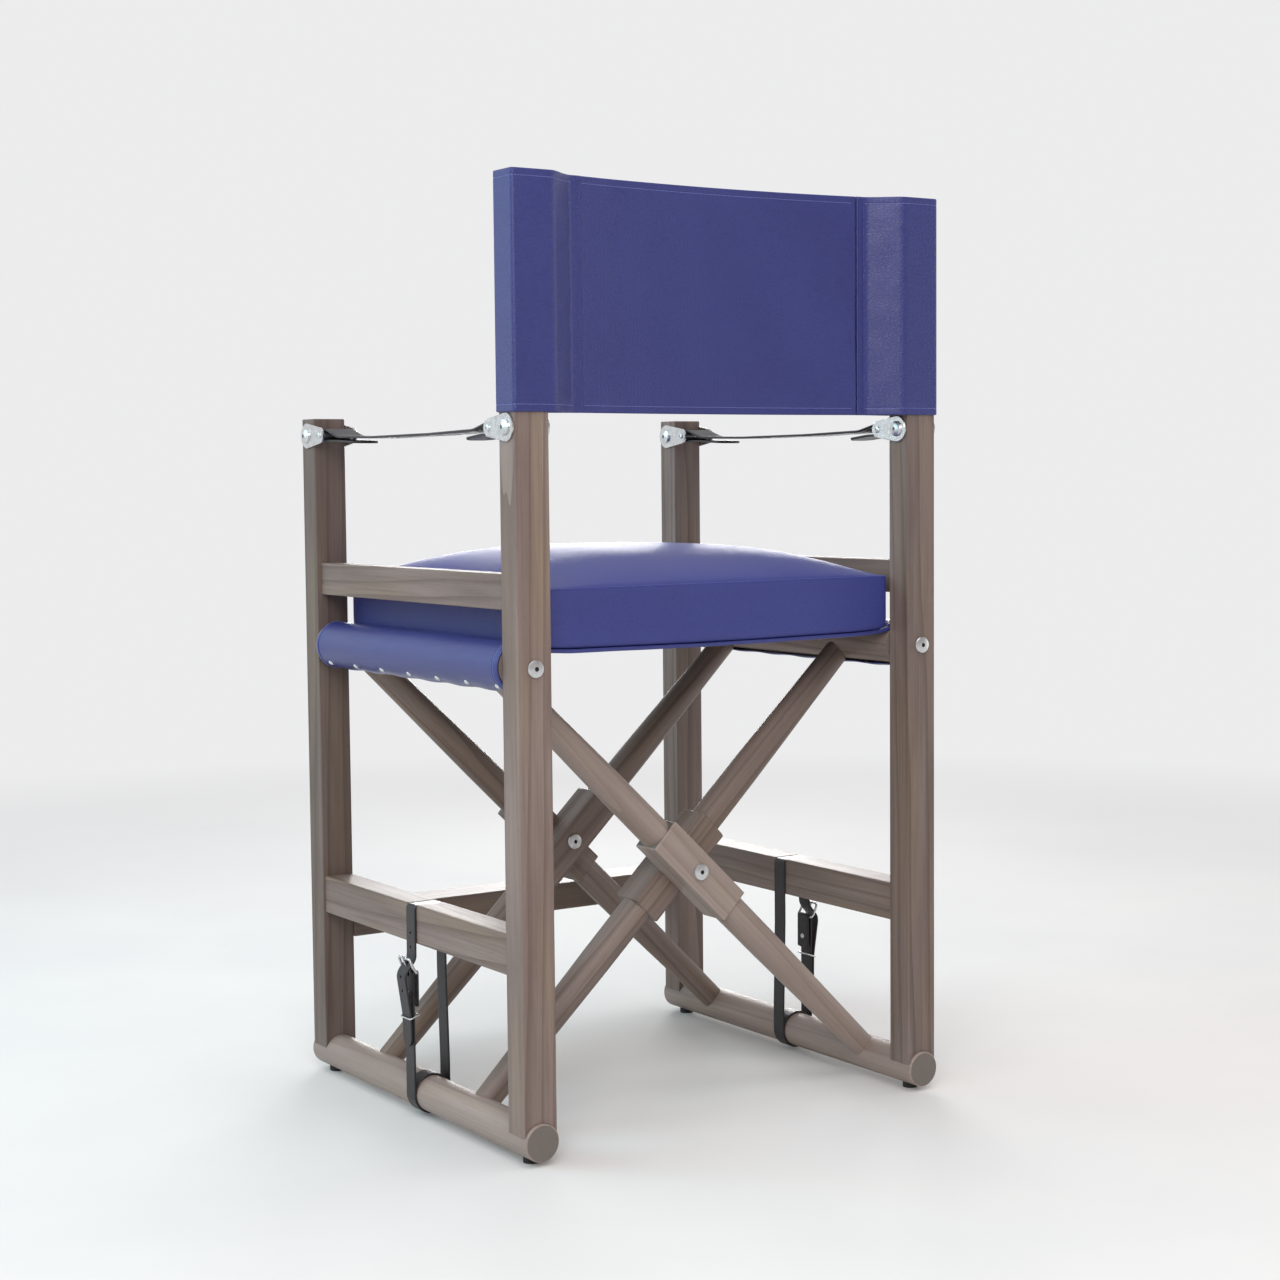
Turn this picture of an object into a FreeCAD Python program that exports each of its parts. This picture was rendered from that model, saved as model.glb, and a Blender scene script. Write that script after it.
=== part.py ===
"""Folding counter-height armchair: two side frames, two nested X leg frames, leather seat and back.

Units are millimetres. The chair faces -Y, its sitter's left is +X, and +Z is up.
Shapes are drawn about the middle of the four posts and moved by Y_OFFSET at export, which puts
the origin under the middle of the bounding box.
"""
import FreeCAD, Part
import math
import os

V = FreeCAD.Vector

# ---- posts and rails of the side frames ----
POST_X = 42.0            # post width across the chair
POST_Y = 35.0            # post depth, front to back
HALF_WIDTH = 293.0       # centre to the posts' outer faces
HALF_DEPTH = 265.0       # centre to the posts' front and rear faces
FRONT_POST_TOP = 830.0
REAR_POST_TOP = 1079.0
POST_FOOT = 34.0         # lowest point of a post's saddle cheeks
EASE = 1.5               # radius on the long wooden edges
UPPER_RAIL = (262.0, 287.0, 610.5, 650.0)      # x from, x to, z from, z to
STRETCHER = (253.0, 290.0, 208.0, 254.0)
GROOVE_DEPTH = 3.0       # strap groove across the top of the stretcher
GROOVE_LIP = 2.5         # radius where the strap turns down the stretcher's sides

# ---- folding leg frames ----
DOWEL_R = 21.5           # floor dowels
DOWEL_Z = 26.5
DOWEL_PROUD = 4.0        # dowel end beyond the post face
FOOT_R = 9.0
FOOT_Y = 243.0
RAIL_R = 25.0            # seat rail, wood only
RAIL_Z = 548.0
LEG_BLOCK = 42.4         # square pivot block
LEG_BLOCK_LENGTH = 138.0
LEG_R_BLOCK = 19.0       # turned leg beside its block
LEG_R_END = 15.0         # turned leg at the dowels
LEG_TAPER = ((150.0, 18.6), (215.0, 17.6), (290.0, 16.3))     # distance from the pivot, radius
INNER_LEG_Y = 120.5      # leg centres, frame by frame
OUTER_LEG_Y = 163.5
PIVOT_R = 5.0

# ---- hardware ----
RUNNING = 0.08           # radial clearance of a turning bolt
HEAD_R = 10.0
HEAD_H = 2.6
HEAD_GAP = 0.2           # between a turning head and the wood
SEAT_BOLT_R = 4.0
ARM_Z = 809.0            # bolt and pin height of the arm shackles
ARM_BOLT_Y = 247.5
ARM_PIN_Y = 211.0
ARM_BOLT_R = 3.0
PLATE_T = 3.0
PLATE_R = (15.6, 10.0)   # shackle plate round the bolt and round the pin
ARM_PIN_R = 5.0
PIN_END_R = 2.2          # pin where it passes through the plates

# ---- leather ----
LEATHER = 3.0
WRAP_FROM, WRAP_TO = -42.0, 225.0              # degrees from straight up, outward positive
SEAT_Y = (-223.5, 229.0)                       # front and rear edges of the seat leather
NAIL_ANGLE = 140.0
NAIL_FIRST = -200.0
NAIL_PITCH = 69.2
NAIL_R = 4.0
NAIL_SHANK_R = 0.8
ARM_STRAP = (253.0, 291.0)                     # x from, x to
ARM_TAILS = ((-123.0, 799.2), (143.5, 797.6))  # y, z of the front and rear tail ends
BACK_Z = (825.0, 1083.0)
SEAM_X = 193.0
SEAM_Y = 238.5
PANEL_BOW = 15.0
SLING_HALF = ((254.0, 567.5), (241.0, 564.0, 40), (205.0, 562.0, 200), (110.0, 561.0, 800),
              (40.0, 560.4, 400))              # x, z and bend radius from the rail to the middle
CUSHION_HALF_X = 248.0
CUSHION_Y = (-227.0, 232.0)
CUSHION_CORNER = 7.0
CUSHION_GAP = 1.2        # over the sling
CUSHION_EDGE_Z = 631.5   # top seam
CUSHION_CROWN = 43.0
TIE_T = 2.5
TIE_Y = (-6.0, 16.0)
BUCKLE_HEEL = (292.2, 173.0)                   # bar centres: x, z
BUCKLE_TOP = (301.4, 191.0)
HEEL_R = 1.5
BAR_R = 1.6
BUCKLE_HALF = 14.5       # half the buckle's width, to its bar centres
PRONG_R = 1.2
PRONG_TIP = (305.8, 194.2)
KEEPER_Z = 121.5
KEEPER_TILT = 2.0        # inner side up, outer side down
KEEPER_X = (289.4, 301.2)
KEEPER_WIRE_R = 1.0
RIVET_Z = 147.0
TIE_TAIL_Z = 85.0

# ---- footrest ----
FOOTREST_Z = (171.5, 207.5)
FOOTREST_PROUD = 27.0
FOOTREST_GAP = 0.3

AXIS_X = HALF_WIDTH - POST_X / 2
TIE_MIDDLE = (TIE_Y[0] + TIE_Y[1]) / 2
INNER_Y = HALF_DEPTH - POST_Y
BOLT_PROUD = HEAD_GAP + HEAD_H + 1.4
Y_OFFSET = (FOOTREST_PROUD - max(DOWEL_PROUD, BOLT_PROUD)) / 2


# ---------------------------------------------------------------- helpers
def box(x0, x1, y0, y1, z0, z1):
    return Part.makeBox(x1 - x0, y1 - y0, z1 - z0, V(x0, y0, z0))


def eased_box(x0, x1, y0, y1, z0, z1, radius=EASE):
    solid = box(x0, x1, y0, y1, z0, z1)
    return solid.makeFillet(radius, solid.Edges)


def rod(start, end, radius):
    run = end.sub(start)
    return Part.makeCylinder(radius, run.Length, start, run)


def mirrored(shape):
    return shape.mirror(V(0, 0, 0), V(1, 0, 0))


def turned(profile, origin, axis):
    """A solid of revolution from (radius, height) points about axis through origin."""
    points = [V(r, 0, h) for r, h in profile]
    face = Part.Face(Part.makePolygon(points + [points[0]]))
    solid = face.revolve(V(0, 0, 0), V(0, 0, 1), 360)
    solid.Placement = FreeCAD.Placement(origin, FreeCAD.Rotation(V(0, 0, 1), axis))
    return solid


def bolt_head(centre, outward, radius=HEAD_R, height=HEAD_H, dome=1.4, socket=2.6):
    """A low domed head with a round driver socket, sitting on centre and facing outward."""
    steps = 8
    profile = [(0.0, 0.0), (radius, 0.0), (radius, height * 0.6)]
    for i in range(steps + 1):
        r = (radius - 0.7) * (1 - i / steps)
        if r > socket:
            profile.append((r, height + dome * (1 - (r / radius) ** 2)))
    profile.append((socket, height + dome * (1 - (socket / radius) ** 2)))
    profile.append((socket, height * 0.35))
    profile.append((0.0, height * 0.35))
    return turned(profile, centre, outward)


def strip_side(path, offset):
    """2D edges running beside a bent path, offset to its left.

    path holds (a, b) ends and (a, b, radius) bends, every bend rounded by its own radius.
    Returns (start, end) pairs for lines and (start, middle, end) triples for arcs.
    """
    pieces = []
    ways = []
    for here, there in zip(path, path[1:]):
        run = math.hypot(there[0] - here[0], there[1] - here[1])
        ways.append(((there[0] - here[0]) / run, (there[1] - here[1]) / run))
    last = (path[0][0] - ways[0][1] * offset, path[0][1] + ways[0][0] * offset)
    for corner, before, after in zip(path[1:-1], ways, ways[1:]):
        a, b, radius = corner
        turn = math.atan2(before[0] * after[1] - before[1] * after[0],
                          before[0] * after[0] + before[1] * after[1])
        side = 1 if turn > 0 else -1
        cut = radius * math.tan(abs(turn) / 2)
        centre = (a - before[0] * cut - side * before[1] * radius,
                  b - before[1] * cut + side * before[0] * radius)
        bend = radius - side * offset
        angle = math.atan2(-side * before[0], side * before[1])
        arc = []
        for share in (0, 0.5, 1):
            at = angle + turn * share
            arc.append((centre[0] + bend * math.cos(at), centre[1] + bend * math.sin(at)))
        if math.dist(last, arc[0]) > 1e-4:
            pieces.append((last, arc[0]))
        pieces.append(tuple(arc))
        last = arc[2]
    final = (path[-1][0] - ways[-1][1] * offset, path[-1][1] + ways[-1][0] * offset)
    if math.dist(last, final) > 1e-4:
        pieces.append((last, final))
    return pieces


def ribbon(path, thickness, to_3d, sweep):
    """A strip of constant thickness along a bent 2D path, pushed through by sweep."""
    edges = []
    sides = [strip_side(path, thickness / 2), strip_side(path, -thickness / 2)]
    for side in sides:
        for piece in side:
            points = [to_3d(*p) for p in piece]
            if len(points) == 2:
                edges.append(Part.makeLine(*points))
            else:
                edges.append(Part.Arc(*points).toShape())
    for end in (lambda side: side[0][0], lambda side: side[-1][-1]):
        edges.append(Part.makeLine(to_3d(*end(sides[0])), to_3d(*end(sides[1]))))
    wire = Part.Wire(Part.__sortEdges__(edges))
    return Part.Face(wire).extrude(sweep)


def xz_strip(path, thickness, y0, y1):
    return ribbon(path, thickness, lambda a, b: V(a, y0, b), V(0, y1 - y0, 0))


def yz_strip(path, thickness, x0, x1):
    return ribbon(path, thickness, lambda a, b: V(x0, a, b), V(x1 - x0, 0, 0))


def xy_strip(path, thickness, z0, z1):
    return ribbon(path, thickness, lambda a, b: V(a, b, z0), V(0, 0, z1 - z0))


# ---------------------------------------------------------------- side frames (drawn for +X)
def post(front):
    y0 = -HALF_DEPTH if front else INNER_Y
    top = FRONT_POST_TOP if front else REAR_POST_TOP
    solid = eased_box(HALF_WIDTH - POST_X, HALF_WIDTH, y0, y0 + POST_Y, POST_FOOT - 10, top)
    solid = solid.cut(box(200, 320, y0 - 1, y0 + POST_Y + 1, 0, POST_FOOT))
    solid = solid.cut(rod(V(AXIS_X, y0 - 1, DOWEL_Z), V(AXIS_X, y0 + POST_Y + 1, DOWEL_Z), DOWEL_R + 0.3))
    bore = SEAT_BOLT_R + RUNNING
    solid = solid.cut(rod(V(AXIS_X, y0 - 1, RAIL_Z), V(AXIS_X, y0 + POST_Y + 1, RAIL_Z), bore))
    arm_y = -ARM_BOLT_Y if front else ARM_BOLT_Y
    return solid.cut(rod(V(240, arm_y, ARM_Z), V(300, arm_y, ARM_Z), ARM_BOLT_R))


def upper_rail():
    x0, x1, z0, z1 = UPPER_RAIL
    solid = box(x0, x1, -INNER_Y, INNER_Y, z0, z1)
    long_edges = [e for e in solid.Edges if abs(e.tangentAt(e.FirstParameter).y) > 0.9]
    return solid.makeFillet(EASE, long_edges)


def stretcher():
    x0, x1, z0, z1 = STRETCHER
    solid = box(x0, x1, -INNER_Y, INNER_Y, z0, z1)
    long_edges = [e for e in solid.Edges if abs(e.tangentAt(e.FirstParameter).y) > 0.9]
    solid = solid.makeFillet(EASE, long_edges)
    floor = z1 - GROOVE_DEPTH
    solid = solid.cut(box(x0 - 1, x1 + 1, TIE_Y[0] - 0.6, TIE_Y[1] + 0.6, floor, z1 + 1))
    lips = []
    for edge in solid.Edges:
        extent = edge.BoundBox
        along_y = extent.YLength > 20 and extent.XLength < 0.01
        if along_y and abs(extent.ZMin - floor) < 0.01 and abs(extent.ZMax - floor) < 0.01:
            lips.append(edge)
    return solid.makeFillet(GROOVE_LIP, lips)


def teardrop(big, big_r, small, small_r, x0):
    """Outline around two circles in the YZ plane at x0, with its tangent sides."""
    gap = abs(small - big)
    toward = 1 if small > big else -1
    lean = math.acos((big_r - small_r) / gap)
    centre_big, centre_small = V(x0, big, ARM_Z), V(x0, small, ARM_Z)

    def at(centre, radius, angle):
        return centre.add(V(0, toward * radius * math.cos(angle), radius * math.sin(angle)))

    back = at(centre_big, big_r, math.pi)
    tip = at(centre_small, small_r, 0)
    edges = [
        Part.Arc(at(centre_big, big_r, lean), back, at(centre_big, big_r, -lean)).toShape(),
        Part.makeLine(at(centre_big, big_r, -lean), at(centre_small, small_r, -lean)),
        Part.Arc(at(centre_small, small_r, -lean), tip, at(centre_small, small_r, lean)).toShape(),
        Part.makeLine(at(centre_small, small_r, lean), at(centre_big, big_r, lean)),
    ]
    return Part.Face(Part.Wire(Part.__sortEdges__(edges)))


def shackle_plates(front):
    sign = -1 if front else 1
    plates = []
    for x0 in (HALF_WIDTH, HALF_WIDTH - POST_X - PLATE_T):
        face = teardrop(sign * ARM_BOLT_Y, PLATE_R[0], sign * ARM_PIN_Y, PLATE_R[1], x0)
        plate = face.extrude(V(PLATE_T, 0, 0))
        rims = [e for e in plate.Edges if abs(e.BoundBox.XLength) < 0.01]
        plate = plate.makeChamfer(0.6, rims)
        for y, r in ((sign * ARM_BOLT_Y, ARM_BOLT_R), (sign * ARM_PIN_Y, PIN_END_R)):
            plate = plate.cut(rod(V(x0 - 1, y, ARM_Z), V(x0 + PLATE_T + 1, y, ARM_Z), r))
        plates.append(plate)
    return Part.makeCompound(plates)


def arm_bolt(front):
    y = -ARM_BOLT_Y if front else ARM_BOLT_Y
    outer, inner = HALF_WIDTH + PLATE_T, HALF_WIDTH - POST_X - PLATE_T
    shank = rod(V(inner - 1, y, ARM_Z), V(outer + 1, y, ARM_Z), ARM_BOLT_R)
    for x, way in ((outer, 1), (inner, -1)):
        shank = shank.fuse(bolt_head(V(x, y, ARM_Z), V(way, 0, 0), 9.2, 2.4, 2.2, 2.4))
    for x, way in ((outer, 1), (inner, -1)):
        shank = shank.cut(rod(V(x + way * 0.9, y, ARM_Z), V(x + way * 9, y, ARM_Z), 2.4))
    return shank.removeSplitter()


def arm_pin(front):
    y = -ARM_PIN_Y if front else ARM_PIN_Y
    outer, inner = HALF_WIDTH + PLATE_T, HALF_WIDTH - POST_X - PLATE_T
    pin = rod(V(inner + PLATE_T, y, ARM_Z), V(outer - PLATE_T, y, ARM_Z), ARM_PIN_R)
    pin = pin.fuse(rod(V(inner, y, ARM_Z), V(outer, y, ARM_Z), PIN_END_R))
    for x, way in ((outer, 1), (inner, -1)):
        pin = pin.fuse(bolt_head(V(x, y, ARM_Z), V(way, 0, 0), 4.4, 1.2, 0.8, 1.2))
    return pin.removeSplitter()


def arm_strap():
    """A leather strap looped round both pins, its folded tails lying under the span."""
    loop = ARM_PIN_R + 0.1 + LEATHER / 2
    reach, low, high = ARM_PIN_Y + loop, ARM_Z - loop, ARM_Z + loop
    path = [ARM_TAILS[0], (-175, 801.6, 120), (-reach, low, loop), (-reach, high, loop)]
    path += [(-203, high, 14), (-172, 806.4, 60), (-77, 804.3, 400), (60, 805.0, 900)]
    path += [(167, 807.4, 60), (203, high, 14), (reach, high, loop), (reach, low, loop)]
    path += [(185, 801.8, 90), ARM_TAILS[1]]
    return yz_strip(path, LEATHER, *ARM_STRAP)


def back_sleeve():
    """The leather pocket round a rear post, both layers meeting at the seam."""
    half = LEATHER / 2 + 0.1
    corner = EASE + half
    outer = HALF_WIDTH + half
    rear, front = HALF_DEPTH + half, INNER_Y - half
    path = [(SEAM_X, SEAM_Y + half), (207.5, SEAM_Y + half, 14), (243, rear, 16)]
    path += [(outer, rear, corner), (outer, front, corner), (249, front, 60)]
    path += [(205, SEAM_Y - half, 60), (SEAM_X, SEAM_Y - half)]
    return xy_strip(path, LEATHER, *BACK_Z)


def tie_strap():
    """The buckled strap: over the stretcher, round the floor dowel, and through its own buckle."""
    half = TIE_T / 2 + 0.1
    x_in, x_out, _, top = STRETCHER
    z_top = top - GROOVE_DEPTH + half
    bend = GROOVE_LIP + half
    turn = DOWEL_R + half
    inner, outer = AXIS_X - turn, AXIS_X + turn
    heel_x, heel_z = BUCKLE_HEEL
    wrap = HEEL_R + half
    path = [(heel_x - wrap, 132), (heel_x - wrap, heel_z + wrap, wrap)]
    path += [(heel_x + wrap, heel_z + wrap, wrap), (heel_x + wrap, 120, 300)]
    path += [(outer, 70, 300), (outer, DOWEL_Z - turn, turn), (inner, DOWEL_Z - turn, turn)]
    path += [(inner, 60, 300), (x_in - half, 170, 300)]
    path += [(x_in - half, z_top, bend), (x_out + half, z_top, bend)]
    path += [(x_out + half + 0.4, 189.5, 14), (306.4, 172, 15)]
    path += [(298.8, 122, 30), (298.2, TIE_TAIL_Z)]
    strap = xz_strip(path, TIE_T, *TIE_Y)
    lap = [(outer, DOWEL_Z), (outer, DOWEL_Z + turn, turn), (inner, DOWEL_Z + turn, turn)]
    lap += [(inner, DOWEL_Z)]
    strap = strap.fuse(xz_strip(lap, TIE_T, *TIE_Y)).removeSplitter()
    slot = box(heel_x - 6, heel_x + 4.4, TIE_MIDDLE - 3.4, TIE_MIDDLE + 3.4, heel_z - 6, heel_z + 6)
    strap = strap.cut(slot)
    tongue = rod(V(heel_x, TIE_MIDDLE, heel_z), V(PRONG_TIP[0], TIE_MIDDLE, PRONG_TIP[1]), PRONG_R + 0.5)
    return strap.cut(tongue)


def tie_buckle():
    low, high = TIE_MIDDLE - BUCKLE_HALF, TIE_MIDDLE + BUCKLE_HALF
    heel_a, heel_b = V(BUCKLE_HEEL[0], low, BUCKLE_HEEL[1]), V(BUCKLE_HEEL[0], high, BUCKLE_HEEL[1])
    top_a, top_b = V(BUCKLE_TOP[0], low, BUCKLE_TOP[1]), V(BUCKLE_TOP[0], high, BUCKLE_TOP[1])
    frame = rod(heel_a, heel_b, HEEL_R)
    for start, end in ((heel_a, top_a), (top_a, top_b), (top_b, heel_b)):
        frame = frame.fuse(rod(start, end, BAR_R))
    for corner in (heel_a, heel_b, top_a, top_b):
        frame = frame.fuse(Part.makeSphere(BAR_R, corner))
    return frame.removeSplitter()


def tie_prong():
    heel = V(BUCKLE_HEEL[0], TIE_MIDDLE, BUCKLE_HEEL[1])
    barrel = rod(heel.add(V(0, -2.6, 0)), heel.add(V(0, 2.6, 0)), HEEL_R + 1.3)
    tip = V(PRONG_TIP[0], TIE_MIDDLE, PRONG_TIP[1])
    prong = barrel.fuse(rod(heel, tip, PRONG_R)).fuse(Part.makeSphere(PRONG_R, tip))
    bore = rod(heel.add(V(0, -4, 0)), heel.add(V(0, 4, 0)), HEEL_R + RUNNING)
    prong = prong.cut(bore)
    bar = V(BUCKLE_TOP[0], TIE_MIDDLE, BUCKLE_TOP[1])
    notch = rod(bar.add(V(0, -4, 0)), bar.add(V(0, 4, 0)), BAR_R + 0.15)
    return prong.cut(notch).removeSplitter()


def tie_keeper():
    """A steel wire loop round the chape and the billet."""
    y0, y1 = TIE_Y[0] - 1.3, TIE_Y[1] + 1.3
    x0, x1 = KEEPER_X
    inner_z, outer_z = KEEPER_Z + KEEPER_TILT, KEEPER_Z - KEEPER_TILT
    corners = [V(x0, y0, inner_z), V(x1, y0, outer_z), V(x1, y1, outer_z), V(x0, y1, inner_z)]
    loop = None
    for corner, following in zip(corners, corners[1:] + corners[:1]):
        piece = rod(corner, following, KEEPER_WIRE_R).fuse(Part.makeSphere(KEEPER_WIRE_R, corner))
        loop = piece if loop is None else loop.fuse(piece)
    return loop.removeSplitter()


def tie_rivet():
    """The rivet through the chape's two layers."""
    reach = HEEL_R + TIE_T + 0.1
    inner, outer = BUCKLE_HEEL[0] - reach, BUCKLE_HEEL[0] + reach
    rivet = rod(V(inner - 0.2, TIE_MIDDLE, RIVET_Z), V(outer + 0.2, TIE_MIDDLE, RIVET_Z), 1.2)
    profile = [(0, 0), (3.4, 0), (2.8, 0.6), (1.4, 0.95), (0, 1.0)]
    for x, way in ((inner - 0.05, -1), (outer + 0.05, 1)):
        rivet = rivet.fuse(turned(profile, V(x, TIE_MIDDLE, RIVET_Z), V(way, 0, 0)))
    return rivet.removeSplitter()


# ---------------------------------------------------------------- leg frames (+X side drawn)
def floor_dowel():
    end = HALF_DEPTH + DOWEL_PROUD
    solid = rod(V(AXIS_X, -end, DOWEL_Z), V(AXIS_X, end, DOWEL_Z), DOWEL_R)
    return solid.makeChamfer(1.6, [e for e in solid.Edges if e.BoundBox.YLength < 0.01])


def foot_blanks(grow=0.0):
    feet = []
    for y in (-FOOT_Y, FOOT_Y):
        feet.append(Part.makeCylinder(FOOT_R + grow, 9.0, V(AXIS_X, y, 0)))
    return feet


def seat_rail():
    end = INNER_Y - 0.5
    solid = rod(V(AXIS_X, -end, RAIL_Z), V(AXIS_X, end, RAIL_Z), RAIL_R)
    for sign in (-1, 1):
        bore = rod(V(AXIS_X, sign * (end - 40), RAIL_Z), V(AXIS_X, sign * (end + 1), RAIL_Z), SEAT_BOLT_R)
        solid = solid.cut(bore)
    return solid


def rail_wrap():
    angle = math.radians(WRAP_FROM)
    ray = V(math.sin(angle), 0, math.cos(angle))
    centre = V(AXIS_X, SEAT_Y[0], RAIL_Z)
    near = centre.add(V(ray).multiply(RAIL_R + 0.05))
    far = centre.add(V(ray).multiply(RAIL_R + LEATHER))
    along = V(0, SEAT_Y[1] - SEAT_Y[0], 0)
    face = Part.Face(Part.makePolygon([near, far, far.add(along), near.add(along), near]))
    return face.revolve(V(AXIS_X, 0, RAIL_Z), V(0, 1, 0), WRAP_TO - WRAP_FROM)


def nail_positions():
    return [NAIL_FIRST + NAIL_PITCH * i for i in range(7)]


def nail(y):
    angle = math.radians(NAIL_ANGLE)
    out = V(math.sin(angle), 0, math.cos(angle))
    seat = V(AXIS_X, y, RAIL_Z).add(V(out).multiply(RAIL_R + LEATHER))
    dome = [(0, 0), (NAIL_R, 0), (NAIL_R - 0.3, 0.8), (NAIL_R - 1.1, 1.4), (NAIL_R - 2.4, 1.9), (0, 2.1)]
    head = turned(dome, seat, out)
    shank = rod(seat.sub(V(out).multiply(12)), seat.add(V(out).multiply(0.3)), NAIL_SHANK_R)
    return head.fuse(shank).removeSplitter()


def nail_holes():
    holes = None
    for y in nail_positions():
        angle = math.radians(NAIL_ANGLE)
        out = V(math.sin(angle), 0, math.cos(angle))
        start = V(AXIS_X, y, RAIL_Z).add(V(out).multiply(RAIL_R + LEATHER - 12))
        hole = rod(start, start.add(V(out).multiply(14)), NAIL_SHANK_R)
        holes = hole if holes is None else holes.fuse(hole)
    return holes


def leg_blank():
    """A turned leg with a square block at its middle, upright and centred on the origin."""
    half = math.hypot(AXIS_X, (RAIL_Z - DOWEL_Z) / 2)
    block = LEG_BLOCK_LENGTH / 2
    shoulder = block + 4.0
    radii = [(shoulder, LEG_R_BLOCK)] + list(LEG_TAPER) + [(half, LEG_R_END)]
    outline = [(0, -half)]
    for height, radius in reversed(radii):
        outline.append((radius, -height))
    for height, radius in radii:
        outline.append((radius, height))
    outline.append((0, half))
    leg = turned(outline, V(0, 0, 0), V(0, 0, 1))
    side = LEG_BLOCK / 2
    core = box(-side, side, -side, side, -block, block)
    core = core.makeChamfer(1.6, [e for e in core.Edges if e.BoundBox.ZLength < 0.01])
    return leg.fuse(core).removeSplitter()


def leg(y, clearance):
    """A leg from the +X seat rail down to the -X floor dowel, its block centred at y."""
    lean = math.degrees(math.atan2(AXIS_X, (RAIL_Z - DOWEL_Z) / 2))
    middle = (RAIL_Z + DOWEL_Z) / 2
    solid = leg_blank()
    solid.Placement = FreeCAD.Placement(V(0, y, middle), FreeCAD.Rotation(V(0, 1, 0), lean))
    solid = solid.cut(rod(V(AXIS_X, y - 40, RAIL_Z), V(AXIS_X, y + 40, RAIL_Z), RAIL_R))
    solid = solid.cut(rod(V(-AXIS_X, y - 40, DOWEL_Z), V(-AXIS_X, y + 40, DOWEL_Z), DOWEL_R))
    return solid.cut(rod(V(0, y - 40, middle), V(0, y + 40, middle), PIVOT_R + clearance))


def pivot_bolt(sign):
    """A two-headed pivot bolt through an outer and an inner leg block."""
    middle = (RAIL_Z + DOWEL_Z) / 2
    outer = sign * (OUTER_LEG_Y + LEG_BLOCK / 2)
    inner = sign * (INNER_LEG_Y - LEG_BLOCK / 2 - HEAD_GAP)
    bolt = rod(V(0, inner, middle), V(0, outer, middle), PIVOT_R)
    bolt = bolt.fuse(bolt_head(V(0, outer, middle), V(0, sign, 0)))
    return bolt.fuse(bolt_head(V(0, inner, middle), V(0, -sign, 0))).removeSplitter()


def seat_bolts():
    bolts = []
    for sign in (-1, 1):
        face = sign * (HALF_DEPTH + HEAD_GAP)
        shank = rod(V(AXIS_X, sign * (INNER_Y - 40), RAIL_Z), V(AXIS_X, face, RAIL_Z), SEAT_BOLT_R)
        bolts.append(shank.fuse(bolt_head(V(AXIS_X, face, RAIL_Z), V(0, sign, 0))).removeSplitter())
    return Part.makeCompound(bolts)


# ---------------------------------------------------------------- soft pieces across the chair
def back_panel():
    """The leather across the back: a shallow arc bowed forward between the two sleeves."""
    edge = SEAM_X - 0.4
    radius = (edge ** 2 + PANEL_BOW ** 2) / (2 * PANEL_BOW)
    meeting = SEAM_Y - edge * math.tan(math.asin(edge / radius))
    path = [(edge, SEAM_Y), (0, meeting, radius), (-edge, SEAM_Y)]
    return xy_strip(path, LEATHER, *BACK_Z)


def seat_sling():
    """The leather slung between the seat rails, lowest at its middle."""
    end_x, end_z = SLING_HALF[0]
    path = list(SLING_HALF) + [(-x, z, r) for x, z, r in reversed(SLING_HALF[1:])] + [(-end_x, end_z)]
    return xz_strip(path, LEATHER, *SEAT_Y)


def sling_level(x):
    """Height of the sling's middle surface at x."""
    points = [(0.0, SLING_HALF[-1][1])] + [corner[:2] for corner in reversed(SLING_HALF)]
    for (x0, z0), (x1, z1) in zip(points, points[1:]):
        if abs(x) <= x1:
            return z0 + (z1 - z0) * (abs(x) - x0) / (x1 - x0)
    return points[-1][1]


def spline_face(height):
    """A smooth face over the cushion's plan. height takes u, v from -1 to 1 and gives z."""
    y0, y1 = CUSHION_Y
    rows = []
    for i in range(13):
        u = -1 + i / 6
        row = []
        for j in range(13):
            v = -1 + j / 6
            row.append(V(u * (CUSHION_HALF_X + 2), (y0 + y1) / 2 + v * ((y1 - y0) / 2 + 2), height(u, v)))
        rows.append(row)
    surface = Part.BSplineSurface()
    surface.interpolate(rows)
    return surface.toShape()


def seat_cushion():
    """A box cushion crowned on top, its base following the sling."""
    def crowned(u, v):
        return CUSHION_EDGE_Z + CUSHION_CROWN * (1 - abs(u) ** 3) * (1 - abs(v) ** 3)

    def sagged(u, v):
        return sling_level(u * CUSHION_HALF_X) + LEATHER / 2 + CUSHION_GAP

    block = box(-CUSHION_HALF_X, CUSHION_HALF_X, *CUSHION_Y, 540, 700)
    block = block.makeFillet(CUSHION_CORNER, [e for e in block.Edges if e.BoundBox.ZLength > 100])
    below_top = spline_face(crowned).extrude(V(0, 0, -200))
    above_base = spline_face(sagged).extrude(V(0, 0, 200))
    return block.common(below_top).common(above_base)


def footrest_board():
    x = HALF_WIDTH - POST_X - FOOTREST_GAP
    return eased_box(-x, x, -HALF_DEPTH - FOOTREST_PROUD, -INNER_Y, *FOOTREST_Z, radius=3.0)


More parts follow.
